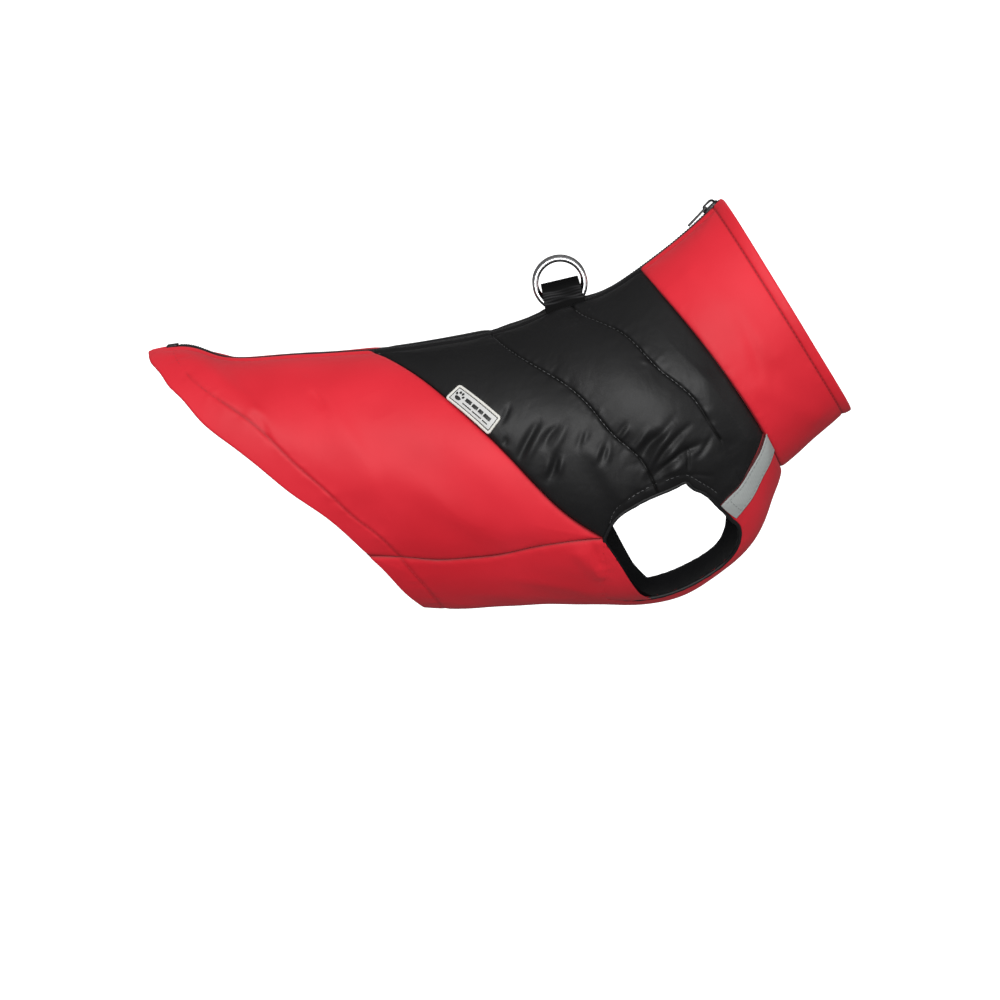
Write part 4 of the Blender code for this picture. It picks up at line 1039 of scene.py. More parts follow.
def side_cloth(side):
    """Three channels in one cloth, quilted through along the lines between them."""
    around = crowded(190, SIDE_PITCH)
    lower_2 = ARMHOLE_TOP + ARMHOLE_FRONT_TOP[1:] + FRONT_SEAM_LOW[1:]
    neck_side = round_ring(NECK_STATION, NECK_TURN_START + (NECK_CORNER_TURN - NECK_TURN_START) * around)
    channels = (
        (from_zip(REAR_SEAM_X, REAR_SEAM, around), from_zip(QUILT_A_X, QUILT_A, around), REAR_SEAM_X,
         QUILT_A_X, ARMHOLE_REAR_TOP, 70),
        (from_zip(QUILT_A_X, QUILT_A, around), from_zip(QUILT_B_X, QUILT_B, around), QUILT_A_X, QUILT_B_X,
         lower_2, 60),
        (from_zip(QUILT_B_X, QUILT_B, around), neck_side, QUILT_B_X, NECK_SEAM_X, FRONT_SEAM_HIGH, 48),
    )
    grid = None
    for start, end, start_x, end_x, lower, length in channels:
        ahead = crowded(length, SIDE_PITCH)
        part = blended(start, end, beside_zip(start_x, end_x, ahead, CLOTH_EDGE), along(lower, ahead), around,
                       ahead)
        grid = part if grid is None else np.concatenate([grid, part[:, 1:]], axis=1)
    zips = lines_of("side_zip", side=side)
    edges = ((zips, FOLD_ROUND, FOLD_DROP, False),
             (lines_of("rear_seam", "neck_side", "front_seam", "armhole_upper", side=side), SEAM_ROUND,
              SEAM_ROUND, False))
    return cloth_panel("side_cloth_" + side, turned(grid, side), RELIEFS["side", side], edges,
                       (black_nylon, lining), zips)


def stretches(stops, shares):
    """Values at the shares of stretches laid end to end, without the shared stops twice."""
    parts = [stops[i] + (stops[i + 1] - stops[i]) * share for i, share in enumerate(shares)]
    return np.concatenate([parts[0]] + [part[1:] for part in parts[1:]])


def under_cloth():
    """Half of the panel, from the middle of the belly to its edge, and its mirror image.

    Beside each armhole's rear corner the rows cross the hole, and a corner of the cloth lies double there.
    """
    across = crowded(95, PITCH)
    belly, hole, chest = crowded(140, PITCH), np.linspace(0, 1, 120), crowded(42, PITCH)
    rear_hole, front_hole = hole[:68], hole[67:]
    edge = np.concatenate([along(SIDE_SEAM, belly), along(ARMHOLE_LOW, hole)[1:],
                           along(FRONT_SEAM, chest)[1:]])
    middle_x = stretches(UNDER_MIDDLE_X, (
        belly, rear_hole / rear_hole[-1], (front_hole - front_hole[0]) / (1 - front_hole[0]), chest))
    middle = np.stack([middle_x, np.full(len(middle_x), 180.0)], -1)
    hem = along(BELLY_HEM, across)[::-1]
    front = round_ring(NECK_STATION, NECK_CORNER_TURN + (180 - NECK_CORNER_TURN) * across)[::-1]
    ahead = np.concatenate([belly * 0.4, 0.4 + hole[1:] * 0.48, 0.88 + chest[1:] * 0.12])
    right = blended(middle, edge, hem, front, ahead, 1 - across[::-1])
    grid = np.concatenate([right[:, :0:-1], mirrored(right)], axis=1)
    edges = ((both_sides("belly_hem"), EDGE_ROUND, EDGE_ROUND, True),
             (both_sides("side_seam", "front_seam", "neck_under", "armhole_low"), SEAM_ROUND, SEAM_ROUND,
              False))
    return cloth_panel("under_cloth", grid, RELIEFS["under"], edges, (red_nylon, lining))


def neck_cloth():
    side_turns = NECK_TURN_START + (NECK_CORNER_TURN - NECK_TURN_START) * crowded(190, PITCH)
    under_turns = np.linspace(NECK_CORNER_TURN, 180, 52)
    right = np.concatenate([side_turns, under_turns[1:]])
    turns = np.concatenate([right, 360 - right[-2::-1]])
    collar_start = turn_beside_zip(np.array([COLLAR_X]), CLOTH_EDGE)[0]
    band = 1 - COLLAR_BAND / COLLAR_DEPTH
    beside_band = band + np.array([-1.1, -0.6, -0.3, 0.0, 0.3, 0.6, 1.1]) / 50
    share = np.union1d(crowded(50, PITCH), beside_band)[:, None]
    station = NECK_STATION + (COLLAR_STATION - NECK_STATION) * share
    first = NECK_TURN_START + (collar_start - NECK_TURN_START) * share
    stretched = 180 + (turns[None] - 180) * (180 - first) / (180 - NECK_TURN_START)
    grid = np.stack([ring_point(station, stretched)[..., 0], stretched], -1)
    collar = line_points(grid[-1])
    zips = [line_points(grid[:, end]) for end in (0, -1)]
    edges = (([collar], EDGE_ROUND, EDGE_ROUND, True), (zips, FOLD_ROUND, FOLD_DROP, False),
             (both_sides("neck_side", "neck_under"), SEAM_ROUND, SEAM_ROUND, False))
    return cloth_panel("neck_cloth", grid, RELIEFS["neck"], edges, (red_nylon, lining), zips)


def on_coat(piece, slot, *nodes, body="coat"):
    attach(piece, body)
    if nodes:
        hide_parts(*nodes)
    return piece


for side in SIDES:
    on_coat(rear_cloth(side), "red_nylon", "rear_panel_" + side)
    on_coat(side_cloth(side), "black_nylon", "side_panel_" + side)
on_coat(under_cloth(), "red_nylon", "under_panel")
on_coat(neck_cloth(), "red_nylon", "neck_panel")


# ---------------------------------------------------------------- edging, strips and webbing

def tube(name, points, radius, material, radii=None, sides=12, closed=True):
    """A round tube through points, as a mesh."""
    curve = bpy.data.curves.new(name, "CURVE")
    curve.dimensions = "3D"
    curve.bevel_depth = radius
    curve.bevel_resolution = sides // 4 - 1
    curve.use_fill_caps = not closed
    spline = curve.splines.new("POLY")
    spline.points.add(len(points) - 1)
    for index, (knot, point) in enumerate(zip(spline.points, points)):
        knot.co = (*point, 1)
        knot.radius = 1 if radii is None else radii[index]
    spline.use_cyclic_u = closed
    return meshed(name, curve, material)


def meshed(name, curve, *materials, matrix=None):
    """A curve in mm, made into a mesh and finished."""
    guide = bpy.data.objects.new(name + "_guide", curve)
    bpy.context.scene.collection.objects.link(guide)
    bpy.context.view_layer.update()
    mesh = bpy.data.meshes.new_from_object(guide.evaluated_get(bpy.context.evaluated_depsgraph_get()))
    bpy.data.objects.remove(guide)
    bpy.data.curves.remove(curve)
    bm = bmesh.new()
    bm.from_mesh(mesh)
    bpy.data.meshes.remove(mesh)
    bmesh.ops.remove_doubles(bm, verts=bm.verts, dist=1e-4)
    if matrix is not None:
        bmesh.ops.transform(bm, matrix=matrix, verts=bm.verts)
    outwards(bm)
    return finished(name, bm, *materials, sharp=45)


def edging(side):
    upper = along(ARMHOLE_UPPER, np.linspace(0, 1, 110))
    low = along(ARMHOLE_LOW, np.linspace(0, 1, 190))
    loop = turned(np.concatenate([upper, low[-2:0:-1]]), side)
    points, normals = spots(loop)
    centre = points.mean(0)
    run = np.roll(points, -1, 0) - np.roll(points, 1, 0)
    into = unit(np.cross(run, normals))
    into *= np.sign((into * (centre - points)).sum(-1))[:, None]
    path = points - normals * 1.0 + into * 0.85
    draw = random.Random(21 if side == "right" else 22)
    waves = [(draw.uniform(0.05, 0.4), draw.uniform(0, 6.3)) for _ in range(5)]
    index = np.arange(len(path))
    radii = 1 + 0.028 * sum(np.sin(index * rate * 3 + phase) for rate, phase in waves)
    return tube("edging_" + side, path, EDGING_RADIUS + 0.2, edging_cloth, radii=radii)


def strip_grid(shares, across):
    near, far = along(FRONT_SEAM, shares), along(STRIP_FRONT_EDGE, shares)
    return near[:, None] * (1 - across)[None, :, None] + far[:, None] * across[None, :, None]


def strip_lift(points):
    """The cloth's padding and folds under the strip, and the strip's own slow unevenness."""
    return RELIEFS["under"].broad(points) + 0.25 * ripple_lift(points, 31, 0.4)


def strip(side):
    shares, across = crowded(42, 1.0), crowded(11, 0.8)
    grid = turned(strip_grid(shares, across), side)
    points, normals = spots(grid)
    lift = strip_lift(points) + LAID_ON_GAP
    sewn = [line_points(turned(strip_grid(shares, np.array([b]))[:, 0], side)) for b in STRIP_SEWN.values()]
    thick = STRIP_THICK + groove_lift(points, sewn, STRIP_SEWN_DEPTH, 0.6)
    outer = drawn_in(points + normals * (lift + thick)[..., None], STRIP_INSET)
    inner = drawn_in(points + normals * lift[..., None], STRIP_INSET)
    return sheet_body("grey_strip_" + side, outer, inner, grid * [MM, TURN_MM * MM], strip_cloth)


def ring_frame(side):
    """A frame at a ring's bar: x along the bar to the head, y to the left, z up through the ring."""
    sign = 1 if side == "left" else -1
    turn = turn_beside_zip(np.array([RING_X]), RING_Y)[0]
    ground = float(spots([RING_X, turn])[0][2])
    lean = Matrix.Rotation(math.radians(sign * RING_LEAN), 4, "X")
    slope = Matrix.Rotation(math.radians(-RING_SLOPE), 4, "Y")
    rise = RING_CENTRE_RISE - RING_BAR_BELOW
    return Matrix.Translation((RING_X, sign * RING_Y, ground + rise)) @ slope @ lean


def ring(side):
    """A leash ring: a round arc closed by a straight bar, with soft corners."""
    placed = ring_frame(side)
    bar_half = math.sqrt(RING_RADIUS ** 2 - RING_BAR_BELOW ** 2)
    start = math.degrees(math.asin(-RING_BAR_BELOW / RING_RADIUS))
    path = [Vector((bar_half * share, 0, 0)) for share in np.linspace(-0.9, 0.9, 15)]
    for angle in np.linspace(start, 180 - start, 96):
        turn = math.radians(angle)
        path.append(Vector((RING_RADIUS * math.cos(turn), 0, RING_RADIUS * math.sin(turn) + RING_BAR_BELOW)))
    return tube("leash_ring_" + side, [placed @ point for point in path], RING_WIRE, polished, sides=20)


def loop_outline(radius, tops):
    """Half the loop's section, from its foot up one leg and over the bar, as (y, z, whole height)."""
    leg_top = LOOP_OVER_BAR - LOOP_THICK - LOOP_INSIDE / 2
    leg = [(radius, leg_top * z) for z in tops]
    arc = [(radius * math.cos(math.radians(a)), leg_top + radius * math.sin(math.radians(a)))
           for a in np.linspace(0, 180, 27)[1:-1]]
    return leg + arc + [(-y, z) for y, z in reversed(leg)]


RIB_PLACES = (5.0, 6.5, 8.2, 9.7, 11.4)  # down a leg, from the loop's top
# How dark the webbing is painted off its rib lines; the rib lines stay lighter as painted highlights.
WEBBING_DARK_OFF_RIB_HIGHLIGHTS = 0.97


def foot_drops(points, down):
    """How far points of a leg's end go down to just above the coat."""
    points, down = np.array(points, float), np.array(down, float)
    low, high = np.zeros(len(points)), np.full(len(points), 14.0)
    for _ in range(11):
        middle = (low + high) / 2
        tried = points + down * middle[:, None]
        turn = turn_beside_zip(tried[:, 0], np.maximum(np.abs(tried[:, 1]), 0.3))
        ground, normal = spots(np.stack([tried[:, 0], turn], -1))
        lift = RELIEFS["side", "right"].broad(ground)
        above = tried[:, 2] - ground[:, 2] > (lift + LOOP_FOOT_GAP) / normal[:, 2]
        low, high = np.where(above, middle, low), np.where(above, high, middle)
    return low


def rib(away, share, phase):
    """How strong a rib is at a distance from its line, at a share of the webbing's width: it sets the rib's
    groove and its painted highlight.
    """
    return (math.exp(-((away - 0.3 * math.sin(share * 4 + phase)) / 0.42) ** 2)
            * max(0.2, 0.62 - 0.42 * math.sin(share * 3 + phase / 3)))


def webbing_loop(side):
    """Ribbed webbing up one side of the ring's bar, folded over above it and down the other side."""
    placed = ring_frame(side)
    inner = LOOP_INSIDE / 2
    tops = [0.0, 0.04, 0.1] + list(np.linspace(0.18, 1, 22))
    across = crowded(LOOP_WIDTH, 0.9) * 2 - 1
    layers = []
    down = -(placed.to_3x3() @ Vector((0, 0, 1)))
    draw = random.Random(41 if side == "right" else 42)
    phases = [draw.uniform(0, 6.3) for _ in RIB_PLACES]
    outline = {radius: loop_outline(radius, tops) for radius in (inner + LOOP_THICK, inner)}
    shade = np.full((len(outline[inner]), len(across)), WEBBING_DARK_OFF_RIB_HIGHLIGHTS)
    for radius, line in outline.items():
        layer = np.empty((len(line), len(across), 3))
        last = len(line) - 1
        legs = len(tops)
        tried = np.linspace(-1, 1, 7)
        falls = {foot: foot_drops([placed @ Vector((LOOP_WIDTH / 2 * share, *line[foot])) for share in tried],
                                  down) for foot in (0, last)}
        for j, share in enumerate(across):
            drops = {foot: float(np.interp(share, tried, fall)) for foot, fall in falls.items()}
            for i, (y, z) in enumerate(line):
                half = LOOP_WIDTH / 2 + (LOOP_TOP_WIDTH - LOOP_WIDTH) / 2 * max(0, z) / LOOP_OVER_BAR
                point = Vector((half * share, y, z))
                if i < legs or i > last - legs:
                    fade = 1 - min(max(z, 0) / (LOOP_OVER_BAR - LOOP_THICK - inner), 1)
                    point.z -= drops[0 if i < legs else last] * fade
                if radius > inner:
                    below = LOOP_OVER_BAR - point.z
                    ribs = [rib(below - at, share, phase) for at, phase in zip(RIB_PLACES, phases)]
                    sink = 0.5 * sum(ribs)
                    # Painted highlights: the colour is darkened less along the ribs.
                    shade[i, j] = WEBBING_DARK_OFF_RIB_HIGHLIGHTS * (1 - min(1, sum(ribs)))
                    edge = min(1 - abs(share), 0.08) / 0.08
                    sink += 0.35 * (1 - edge) ** 2
                    point.y -= math.copysign(sink, y) * min(abs(y) / radius, 1)
                layer[i, j] = placed @ point
        layers.append(layer)
    outer, inside = layers
    rows = np.cumsum([0] + [math.hypot(a[0] - b[0], a[1] - b[1])
                            for a, b in zip(outline[inner + LOOP_THICK][1:], outline[inner + LOOP_THICK])])
    cloth_map = np.stack(np.broadcast_arrays(across[None] * LOOP_WIDTH / 2, rows[:, None]), -1) * MM
    return sheet_body("webbing_loop_" + side, outer, inside, cloth_map, webbing_cloth, shade=shade,
                      inner_shade=WEBBING_DARK_OFF_RIB_HIGHLIGHTS)


for side in SIDES:
    on_coat(edging(side), "black_edging", "armhole_edging_" + side)
    on_coat(strip(side), "reflective_grey", "reflective_strip_" + side)
    on_coat(webbing_loop(side), "black_webbing", "ring_loop_" + side)
    on_coat(ring(side), "chrome", "d_ring_" + side, body="d_ring_" + side)


# ---------------------------------------------------------------- stitches

def stitch_along(name, places, side, relief, material, **settings):
    piece = thread(name, places, side, relief, material, **settings)
    slot = {"red_thread": "red_nylon", "grey_thread": "reflective_grey"}.get(material.name, "black_nylon")
    return on_coat(piece, slot)


def collar_band():
    """The collar's line of stitches, which starts a little further from the zip than its groove."""
    later = COLLAR_STITCH_TURN * (1 - (NECK_TURNS - 5) / 175)
    return round_ring(COLLAR_STATION - COLLAR_BAND_STATIONS, NECK_TURNS + later)


STITCHES = {}
for number, side in enumerate(SIDES):
    rear, flank, belly, neck = RELIEFS["rear", side], RELIEFS["side", side], RELIEFS["under"], RELIEFS["neck"]
    rows = (
        ("hem_stitches_", LINES["hem_stitch"], rear, red_thread, "rear_cloth_" + side),
        ("rear_zip_stitches_", LINES["rear_zip_stitch"], rear, red_thread, "rear_cloth_" + side),
        ("quilt_a_stitches_", LINES["quilt_a"][1:-4], flank, black_thread, "side_cloth_" + side),
        ("quilt_b_stitches_", LINES["quilt_b"][1:-9], flank, black_thread, "side_cloth_" + side),
        ("side_zip_stitches_", LINES["side_zip_stitch"], flank, black_thread, "side_cloth_" + side),
        ("armhole_stitches_", LINES["armhole_stitch"], flank, black_thread, "side_cloth_" + side),
        ("belly_stitches_", LINES["belly_stitch"], belly, red_thread, "under_cloth"),
        ("collar_stitches_", collar_band(), neck, red_thread, "neck_cloth"),
        ("neck_zip_stitches_", LINES["neck_zip_stitch"], neck, red_thread, "neck_cloth"),
    )
    for step, (name, places, relief, material, cloth) in enumerate(rows):
        piece = stitch_along(name + side, places, side, relief, material, seed=50 * number + step)
        STITCHES.setdefault(cloth, []).append(piece)

    def above_strip(points, normals):
        return strip_lift(points) + LAID_ON_GAP + STRIP_THICK - STRIP_SEWN_DEPTH

    shares = np.linspace(0.06, 0.985, 20)
    for edge, across in STRIP_SEWN.items():
        places = strip_grid(shares, np.array([across]))[:, 0]
        piece = stitch_along("strip_stitches_" + edge + "_" + side, places, side, above_strip, grey_thread,
                             stitch=2.0, space=0.7, width=0.4, seed=90 + number)
        STITCHES.setdefault("grey_strip_" + side, []).append(piece)
    places = strip_grid(np.array([0.15]), np.linspace(0.1, 0.9, 8))[0]
    piece = stitch_along("strip_stitches_end_" + side, places, side, above_strip, grey_thread, stitch=2.0,
                         space=0.7, width=0.4, rise=0.25, seed=94 + number)
    STITCHES["grey_strip_" + side].append(piece)


# ---------------------------------------------------------------- label

LABEL_LOW = ((-95.0, 48.5), (-69.2, 67.7))
LABEL_HIGH = ((-85.9, 43.9), (-61.0, 62.0))
LABEL_SIZE = (34.5, 12.0)
LABEL_THICK = 1.0
LABEL_CORNER = 1.9
LABEL_LINE = (1.5, 2.1)  # the fine dark line, from the label's edge
# x, y, turn, half sizes of the pad and the toes
LABEL_PAW = ((-11.4, -1.2, 0, (2.2, 1.55)), (-13.9, 0.7, 25, (0.75, 1.05)), (-12.35, 2.2, 8, (0.8, 1.1)),
             (-10.45, 2.2, -8, (0.8, 1.1)), (-8.9, 0.7, -25, (0.75, 1.05)))
# y, height, bars of (middle, length)
LABEL_BARS = ((0.75, 2.3, ((-4.6, 4.6), (0.6, 4.2), (5.2, 3.4), (10.3, 5.2))),
              (-2.2, 0.7, ((-3.4, 7), (4.4, 7.2), (10.8, 4))))


def label_spots(xy):
    """Points and normals on the coat under places of the label, in mm from its middle."""
    length, width = xy[..., 0] / LABEL_SIZE[0] + 0.5, xy[..., 1] / LABEL_SIZE[1] + 0.5
    low, high = np.array(LABEL_LOW), np.array(LABEL_HIGH)
    ends = [low[i] + (high[i] - low[i]) * width[..., None] for i in (0, 1)]
    points, normals = spots(ends[0] + (ends[1] - ends[0]) * length[..., None])
    lift = RELIEFS["side", "right"].broad(points) + LAID_ON_GAP
    return points + normals * lift[..., None], normals


def rounded_corners(xy, inset):
    """Moves the points of a rectangle's grid so that each of its rings has round corners."""
    inner = np.array(LABEL_SIZE) / 2 - LABEL_CORNER
    past = np.abs(xy) - inner
    corner = (past > 0).all(-1)
    radius = np.maximum(LABEL_CORNER - inset, 0)
    pulled = np.sign(xy) * (inner + unit(past) * radius[..., None])
    return np.where(corner[..., None], pulled, xy)


def label_plate():
    """A moulded plate with round corners, a raised border and a fine dark groove inside it."""
    stops = np.array([0.0, 0.1, 0.25, 0.45, 0.8, 1.15, 1.35, 1.45, 1.55, 1.75, 2.05, 2.15, 2.3, 2.7])
    columns = np.concatenate([stops, np.linspace(3.1, LABEL_SIZE[0] - 3.1, 58), LABEL_SIZE[0] - stops[::-1]])
    rows = np.concatenate([stops, np.linspace(3.1, LABEL_SIZE[1] - 3.1, 12), LABEL_SIZE[1] - stops[::-1]])
    xy = np.stack(np.meshgrid(rows, columns, indexing="ij")[::-1], -1) - np.array(LABEL_SIZE) / 2
    inset = (np.array(LABEL_SIZE) / 2 - np.abs(xy)).min(-1)
    rise = np.interp(inset, (0.0, 0.1, 0.25, 0.45, 1.15, 1.35, 1.45, 2.05, 2.15, 2.3),
                     (0.55, 0.95, 1.28, 1.4, 1.4, 1.28, 0.85, 0.8, 0.95, 1.0))
    points, normals = label_spots(rounded_corners(xy, inset))
    outer = points + normals * rise[..., None]
    tone = np.where(inset < LABEL_LINE[0], 1, np.where(inset < LABEL_LINE[1], 2, 0))
    return sheet_body("label_plate", outer, points, xy * MM, label_ground, label_cream, label_dark, tone=tone)


def label_marks():
    """A plain paw and two rows of plain bars, raised a little from the label's ground."""
    bm = bmesh.new()

    def label_frame(x, y, turn=0.0):
        point, normal = label_spots(np.array([[x, y], [x + 0.5, y]]))
        out = Vector(normal[0])
        run = Vector(point[1] - point[0]).normalized()
        axes = Matrix((run, out.cross(run).normalized(), out)).transposed().to_4x4()
        return (Matrix.Translation(Vector(point[0]) + out * (LABEL_THICK - 0.02)) @ axes
                @ Matrix.Rotation(math.radians(turn), 4, "Z"))

    for x, y, turn, size in LABEL_PAW:
        bmesh.ops.create_uvsphere(bm, u_segments=16, v_segments=8, radius=1,
                                  matrix=label_frame(x, y, turn) @ Matrix.Diagonal((*size, 0.22, 1)))
    for y, height, bars in LABEL_BARS:
        for middle, length in bars:
            soft_box((length, height, 0.4), 0.15, label_frame(middle, y), segments=2, bm=bm)
    return finished("label_marks", bm, label_dark)


# ---------------------------------------------------------------- zip

TAPE_INNER_Y = 2.95
TAPE_THICK = 1.0
TAPE_DROP = 0.5
TAPE_START_X, TAPE_END_X = -275.0, 72.0
CHAIN_START_X, CHAIN_END_X = -260.0, 71.0
CHAIN_HALF_WIDTH = 2.6
CHAIN_RISE = 0.9
TOOTH_SIZE = (0.98, 2.95, 2.1)
TEETH_FOOT = TOOTH_SIZE[2] - CHAIN_RISE
TEETH_COVER_Y = 2.64  # the teeth hide the tape up to here
TOOTH_PITCH = 1.42
END_BOX = (7.0, 7.0, 1.6)
END_BOX_X = -264.0
SLIDER_X = 66.4
SLIDER_LENGTH, SLIDER_WIDTH, SLIDER_PLATE = 11.0, 8.2, 0.9
BRIDGE_WIRE = 0.55
BRIDGE_LENGTH = 7.4
BRIDGE_RISE = 2.9
PULL_LENGTH, PULL_WIDTH, PULL_THICK = 16.0, 5.2, 1.0
PULL_EYE = (4.2, 2.9)
PULL_BAR = 0.6
PULL_AXIS_RISE = 1.0
PULL_DROOP = 3.0


def zip_frame(x, lift, y=0.0):
    """A frame on the zip: its x along the zip to the head, y to the left, z outwards."""
    point, normal = spots([x, 0.0])
    normal = Vector(normal)
    left = Vector((0, 1, 0))
    forward = left.cross(normal).normalized()
    turned_by = Matrix((forward, left, normal)).transposed().to_4x4()
    return Matrix.Translation(Vector(point) + normal * lift + left * y) @ turned_by


def zip_tape(side):
    """One tape of the zip, from under its teeth out to under the cloth's folded edge."""
    sign = 1 if side == "left" else -1
    x = np.linspace(TAPE_START_X, TAPE_END_X, 240)
    y = np.array([0.02, 0.9, 1.8, 2.5, TEETH_COVER_Y, 2.74, TAPE_INNER_Y, 3.15, 3.5, 4, 4.5, 5, 5.4, 5.7,
                  5.85, ZIP_HALF_OPENING - SEAM_GAP])
    places = np.stack(np.broadcast_arrays(x[:, None], 0 * y[None]), -1).copy()
    for column, reach in enumerate(y):
        places[:, column, 1] = -sign * turn_beside_zip(x, reach)
    points, normals = spots(places)
    under_teeth = np.clip((TAPE_INNER_Y - y) / (TAPE_INNER_Y - TEETH_COVER_Y), 0, 1)
    rounded = -TAPE_DROP - 0.15 * np.minimum(np.abs(y - 4.4) / 1.5, 1) ** 6
    rise = rounded + (-TEETH_FOOT - 0.05 - rounded) * under_teeth
    depth = TAPE_DROP + TAPE_THICK + 0.1 * under_teeth
    outer = points + normals * rise[None, :, None]
    inner = points - normals * depth[None, :, None]
    cloth_map = np.stack(np.broadcast_arrays(x[:, None], y[None]), -1) * MM
    return sheet_body("tape_" + side, outer, inner, cloth_map, tape_cloth)


def teeth():
    """Two rows of small moulded teeth that meet in the middle, half a step apart along the zip."""
    size, rise = TOOTH_SIZE, CHAIN_RISE - TOOTH_SIZE[2] / 2
    bm = bmesh.new()
    count = int((CHAIN_END_X - CHAIN_START_X) / TOOTH_PITCH)
    draw = random.Random(12)
    for index in range(count * 2):
        x = CHAIN_START_X + 0.6 + (index // 2 + 0.5 * (index % 2)) * TOOTH_PITCH
        y = (1 if index % 2 else -1) * (CHAIN_HALF_WIDTH - size[1] / 2)
        tilt = Matrix.Rotation(draw.uniform(-0.03, 0.03), 4, "Z")
        bmesh.ops.create_cube(bm, size=1, matrix=zip_frame(x, rise, y) @ tilt @ Matrix.Diagonal((*size, 1)))
    bmesh.ops.bevel(bm, geom=bm.edges[:], offset=0.2, segments=1, profile=0.5, affect="EDGES", material=-1)
    return finished("zip_teeth", bm, coil_nylon, sharp=25)


def soft_box(size, radius, matrix, segments=3, bm=None):
    """A box with rounded edges."""
    bm = bm or bmesh.new()
    made = bmesh.ops.create_cube(bm, size=1, matrix=matrix @ Matrix.Diagonal((*size, 1)))
    edges = list({edge for vert in made["verts"] for edge in vert.link_edges})
    bmesh.ops.bevel(bm, geom=edges, offset=radius, segments=segments, profile=0.5, affect="EDGES",
                    material=-1, clamp_overlap=True)
    return bm


def end_box():
    """The box that closes the zip's lower end: a moulded block with a shallow recess."""
    bm = bmesh.new()
    length, width, height = END_BOX
    bmesh.ops.create_cube(bm, size=1, matrix=Matrix.Diagonal((length, width, height, 1)))
    top = [face for face in bm.faces if face.normal.z > 0.9]
    bmesh.ops.inset_region(bm, faces=top, thickness=1.3, depth=0)
    bmesh.ops.inset_region(bm, faces=top, thickness=0.2, depth=-0.35)
    rim = [edge for edge in bm.edges if edge.is_manifold and edge.calc_face_angle() > 0.5
           and max(abs(v.co.x) for v in edge.verts) > length / 2 - 0.01]
    bmesh.ops.bevel(bm, geom=rim, offset=0.7, segments=4, profile=0.5, affect="EDGES", material=-1,
                    clamp_overlap=True)
    bmesh.ops.transform(bm, matrix=zip_frame(END_BOX_X, height / 2 - 0.15), verts=bm.verts)
    return finished("zip_box", bm, coil_nylon, sharp=40)


def slider():
    """A shield-shaped plate with rails down its sides and a wire bridge over it."""
    placed = zip_frame(SLIDER_X, CHAIN_RISE + SEAM_GAP)
    bm = bmesh.new()
    bmesh.ops.create_circle(bm, cap_ends=True, segments=44, radius=1)
    for vert in bm.verts:
        angle = math.atan2(vert.co.y, vert.co.x)
        along_x = math.copysign(abs(math.cos(angle)) ** 0.55, math.cos(angle))
        across = math.copysign(abs(math.sin(angle)) ** 0.55, math.sin(angle))
        taper = 0.86 + 0.14 * (along_x + 1) / 2
        vert.co = (along_x * SLIDER_LENGTH / 2, across * SLIDER_WIDTH / 2 * taper, 0)
    top = bmesh.ops.extrude_face_region(bm, geom=bm.faces[:])["geom"]
    bmesh.ops.translate(bm, vec=(0, 0, SLIDER_PLATE),
                        verts=[v for v in top if isinstance(v, bmesh.types.BMVert)])
    rim = [edge for edge in bm.edges if min(v.co.z for v in edge.verts) > SLIDER_PLATE - 0.01]
    bmesh.ops.bevel(bm, geom=rim, offset=0.4, segments=4, profile=0.5, affect="EDGES", material=-1)
    for sign in (-1, 1):
        rail = Matrix.Translation((-0.4, sign * (SLIDER_WIDTH / 2 - 0.95), -0.25))
        soft_box((SLIDER_LENGTH * 0.82, 0.9, 1.1), 0.3, rail, segments=2, bm=bm)
    reach, crown, foot = BRIDGE_LENGTH / 2, SLIDER_PLATE + BRIDGE_RISE - BRIDGE_WIRE, 0.4
    rear, front = 1.2, 1.9  # the bends' radii
    quarter = np.linspace(0, math.pi / 2, 8)
    route = [(-reach, foot)]
    route += [(-reach + rear - rear * math.cos(a), crown - rear + rear * math.sin(a)) for a in quarter]
    route += [(reach - front + front * math.sin(a), crown - front + front * math.cos(a)) for a in quarter]
    route += [(reach, foot)]
    # slimmer where the pull's bar turns
    radii = [float(np.interp(x, (-1.6, 0.4), (0.76, 1))) for x, z in route]
    bridge = tube("slider_bridge", [(x, 0, z) for x, z in route], BRIDGE_WIRE + 0.2, black_enamel,
                  radii=radii, closed=False)
    bridge.data.transform(Matrix.Scale(1000, 4))
    bm.from_mesh(bridge.data)
    bpy.data.objects.remove(bridge)
    bmesh.ops.transform(bm, matrix=placed, verts=bm.verts)
    bmesh.ops.recalc_face_normals(bm, faces=bm.faces)
    return finished("slider", bm, black_enamel, sharp=40)


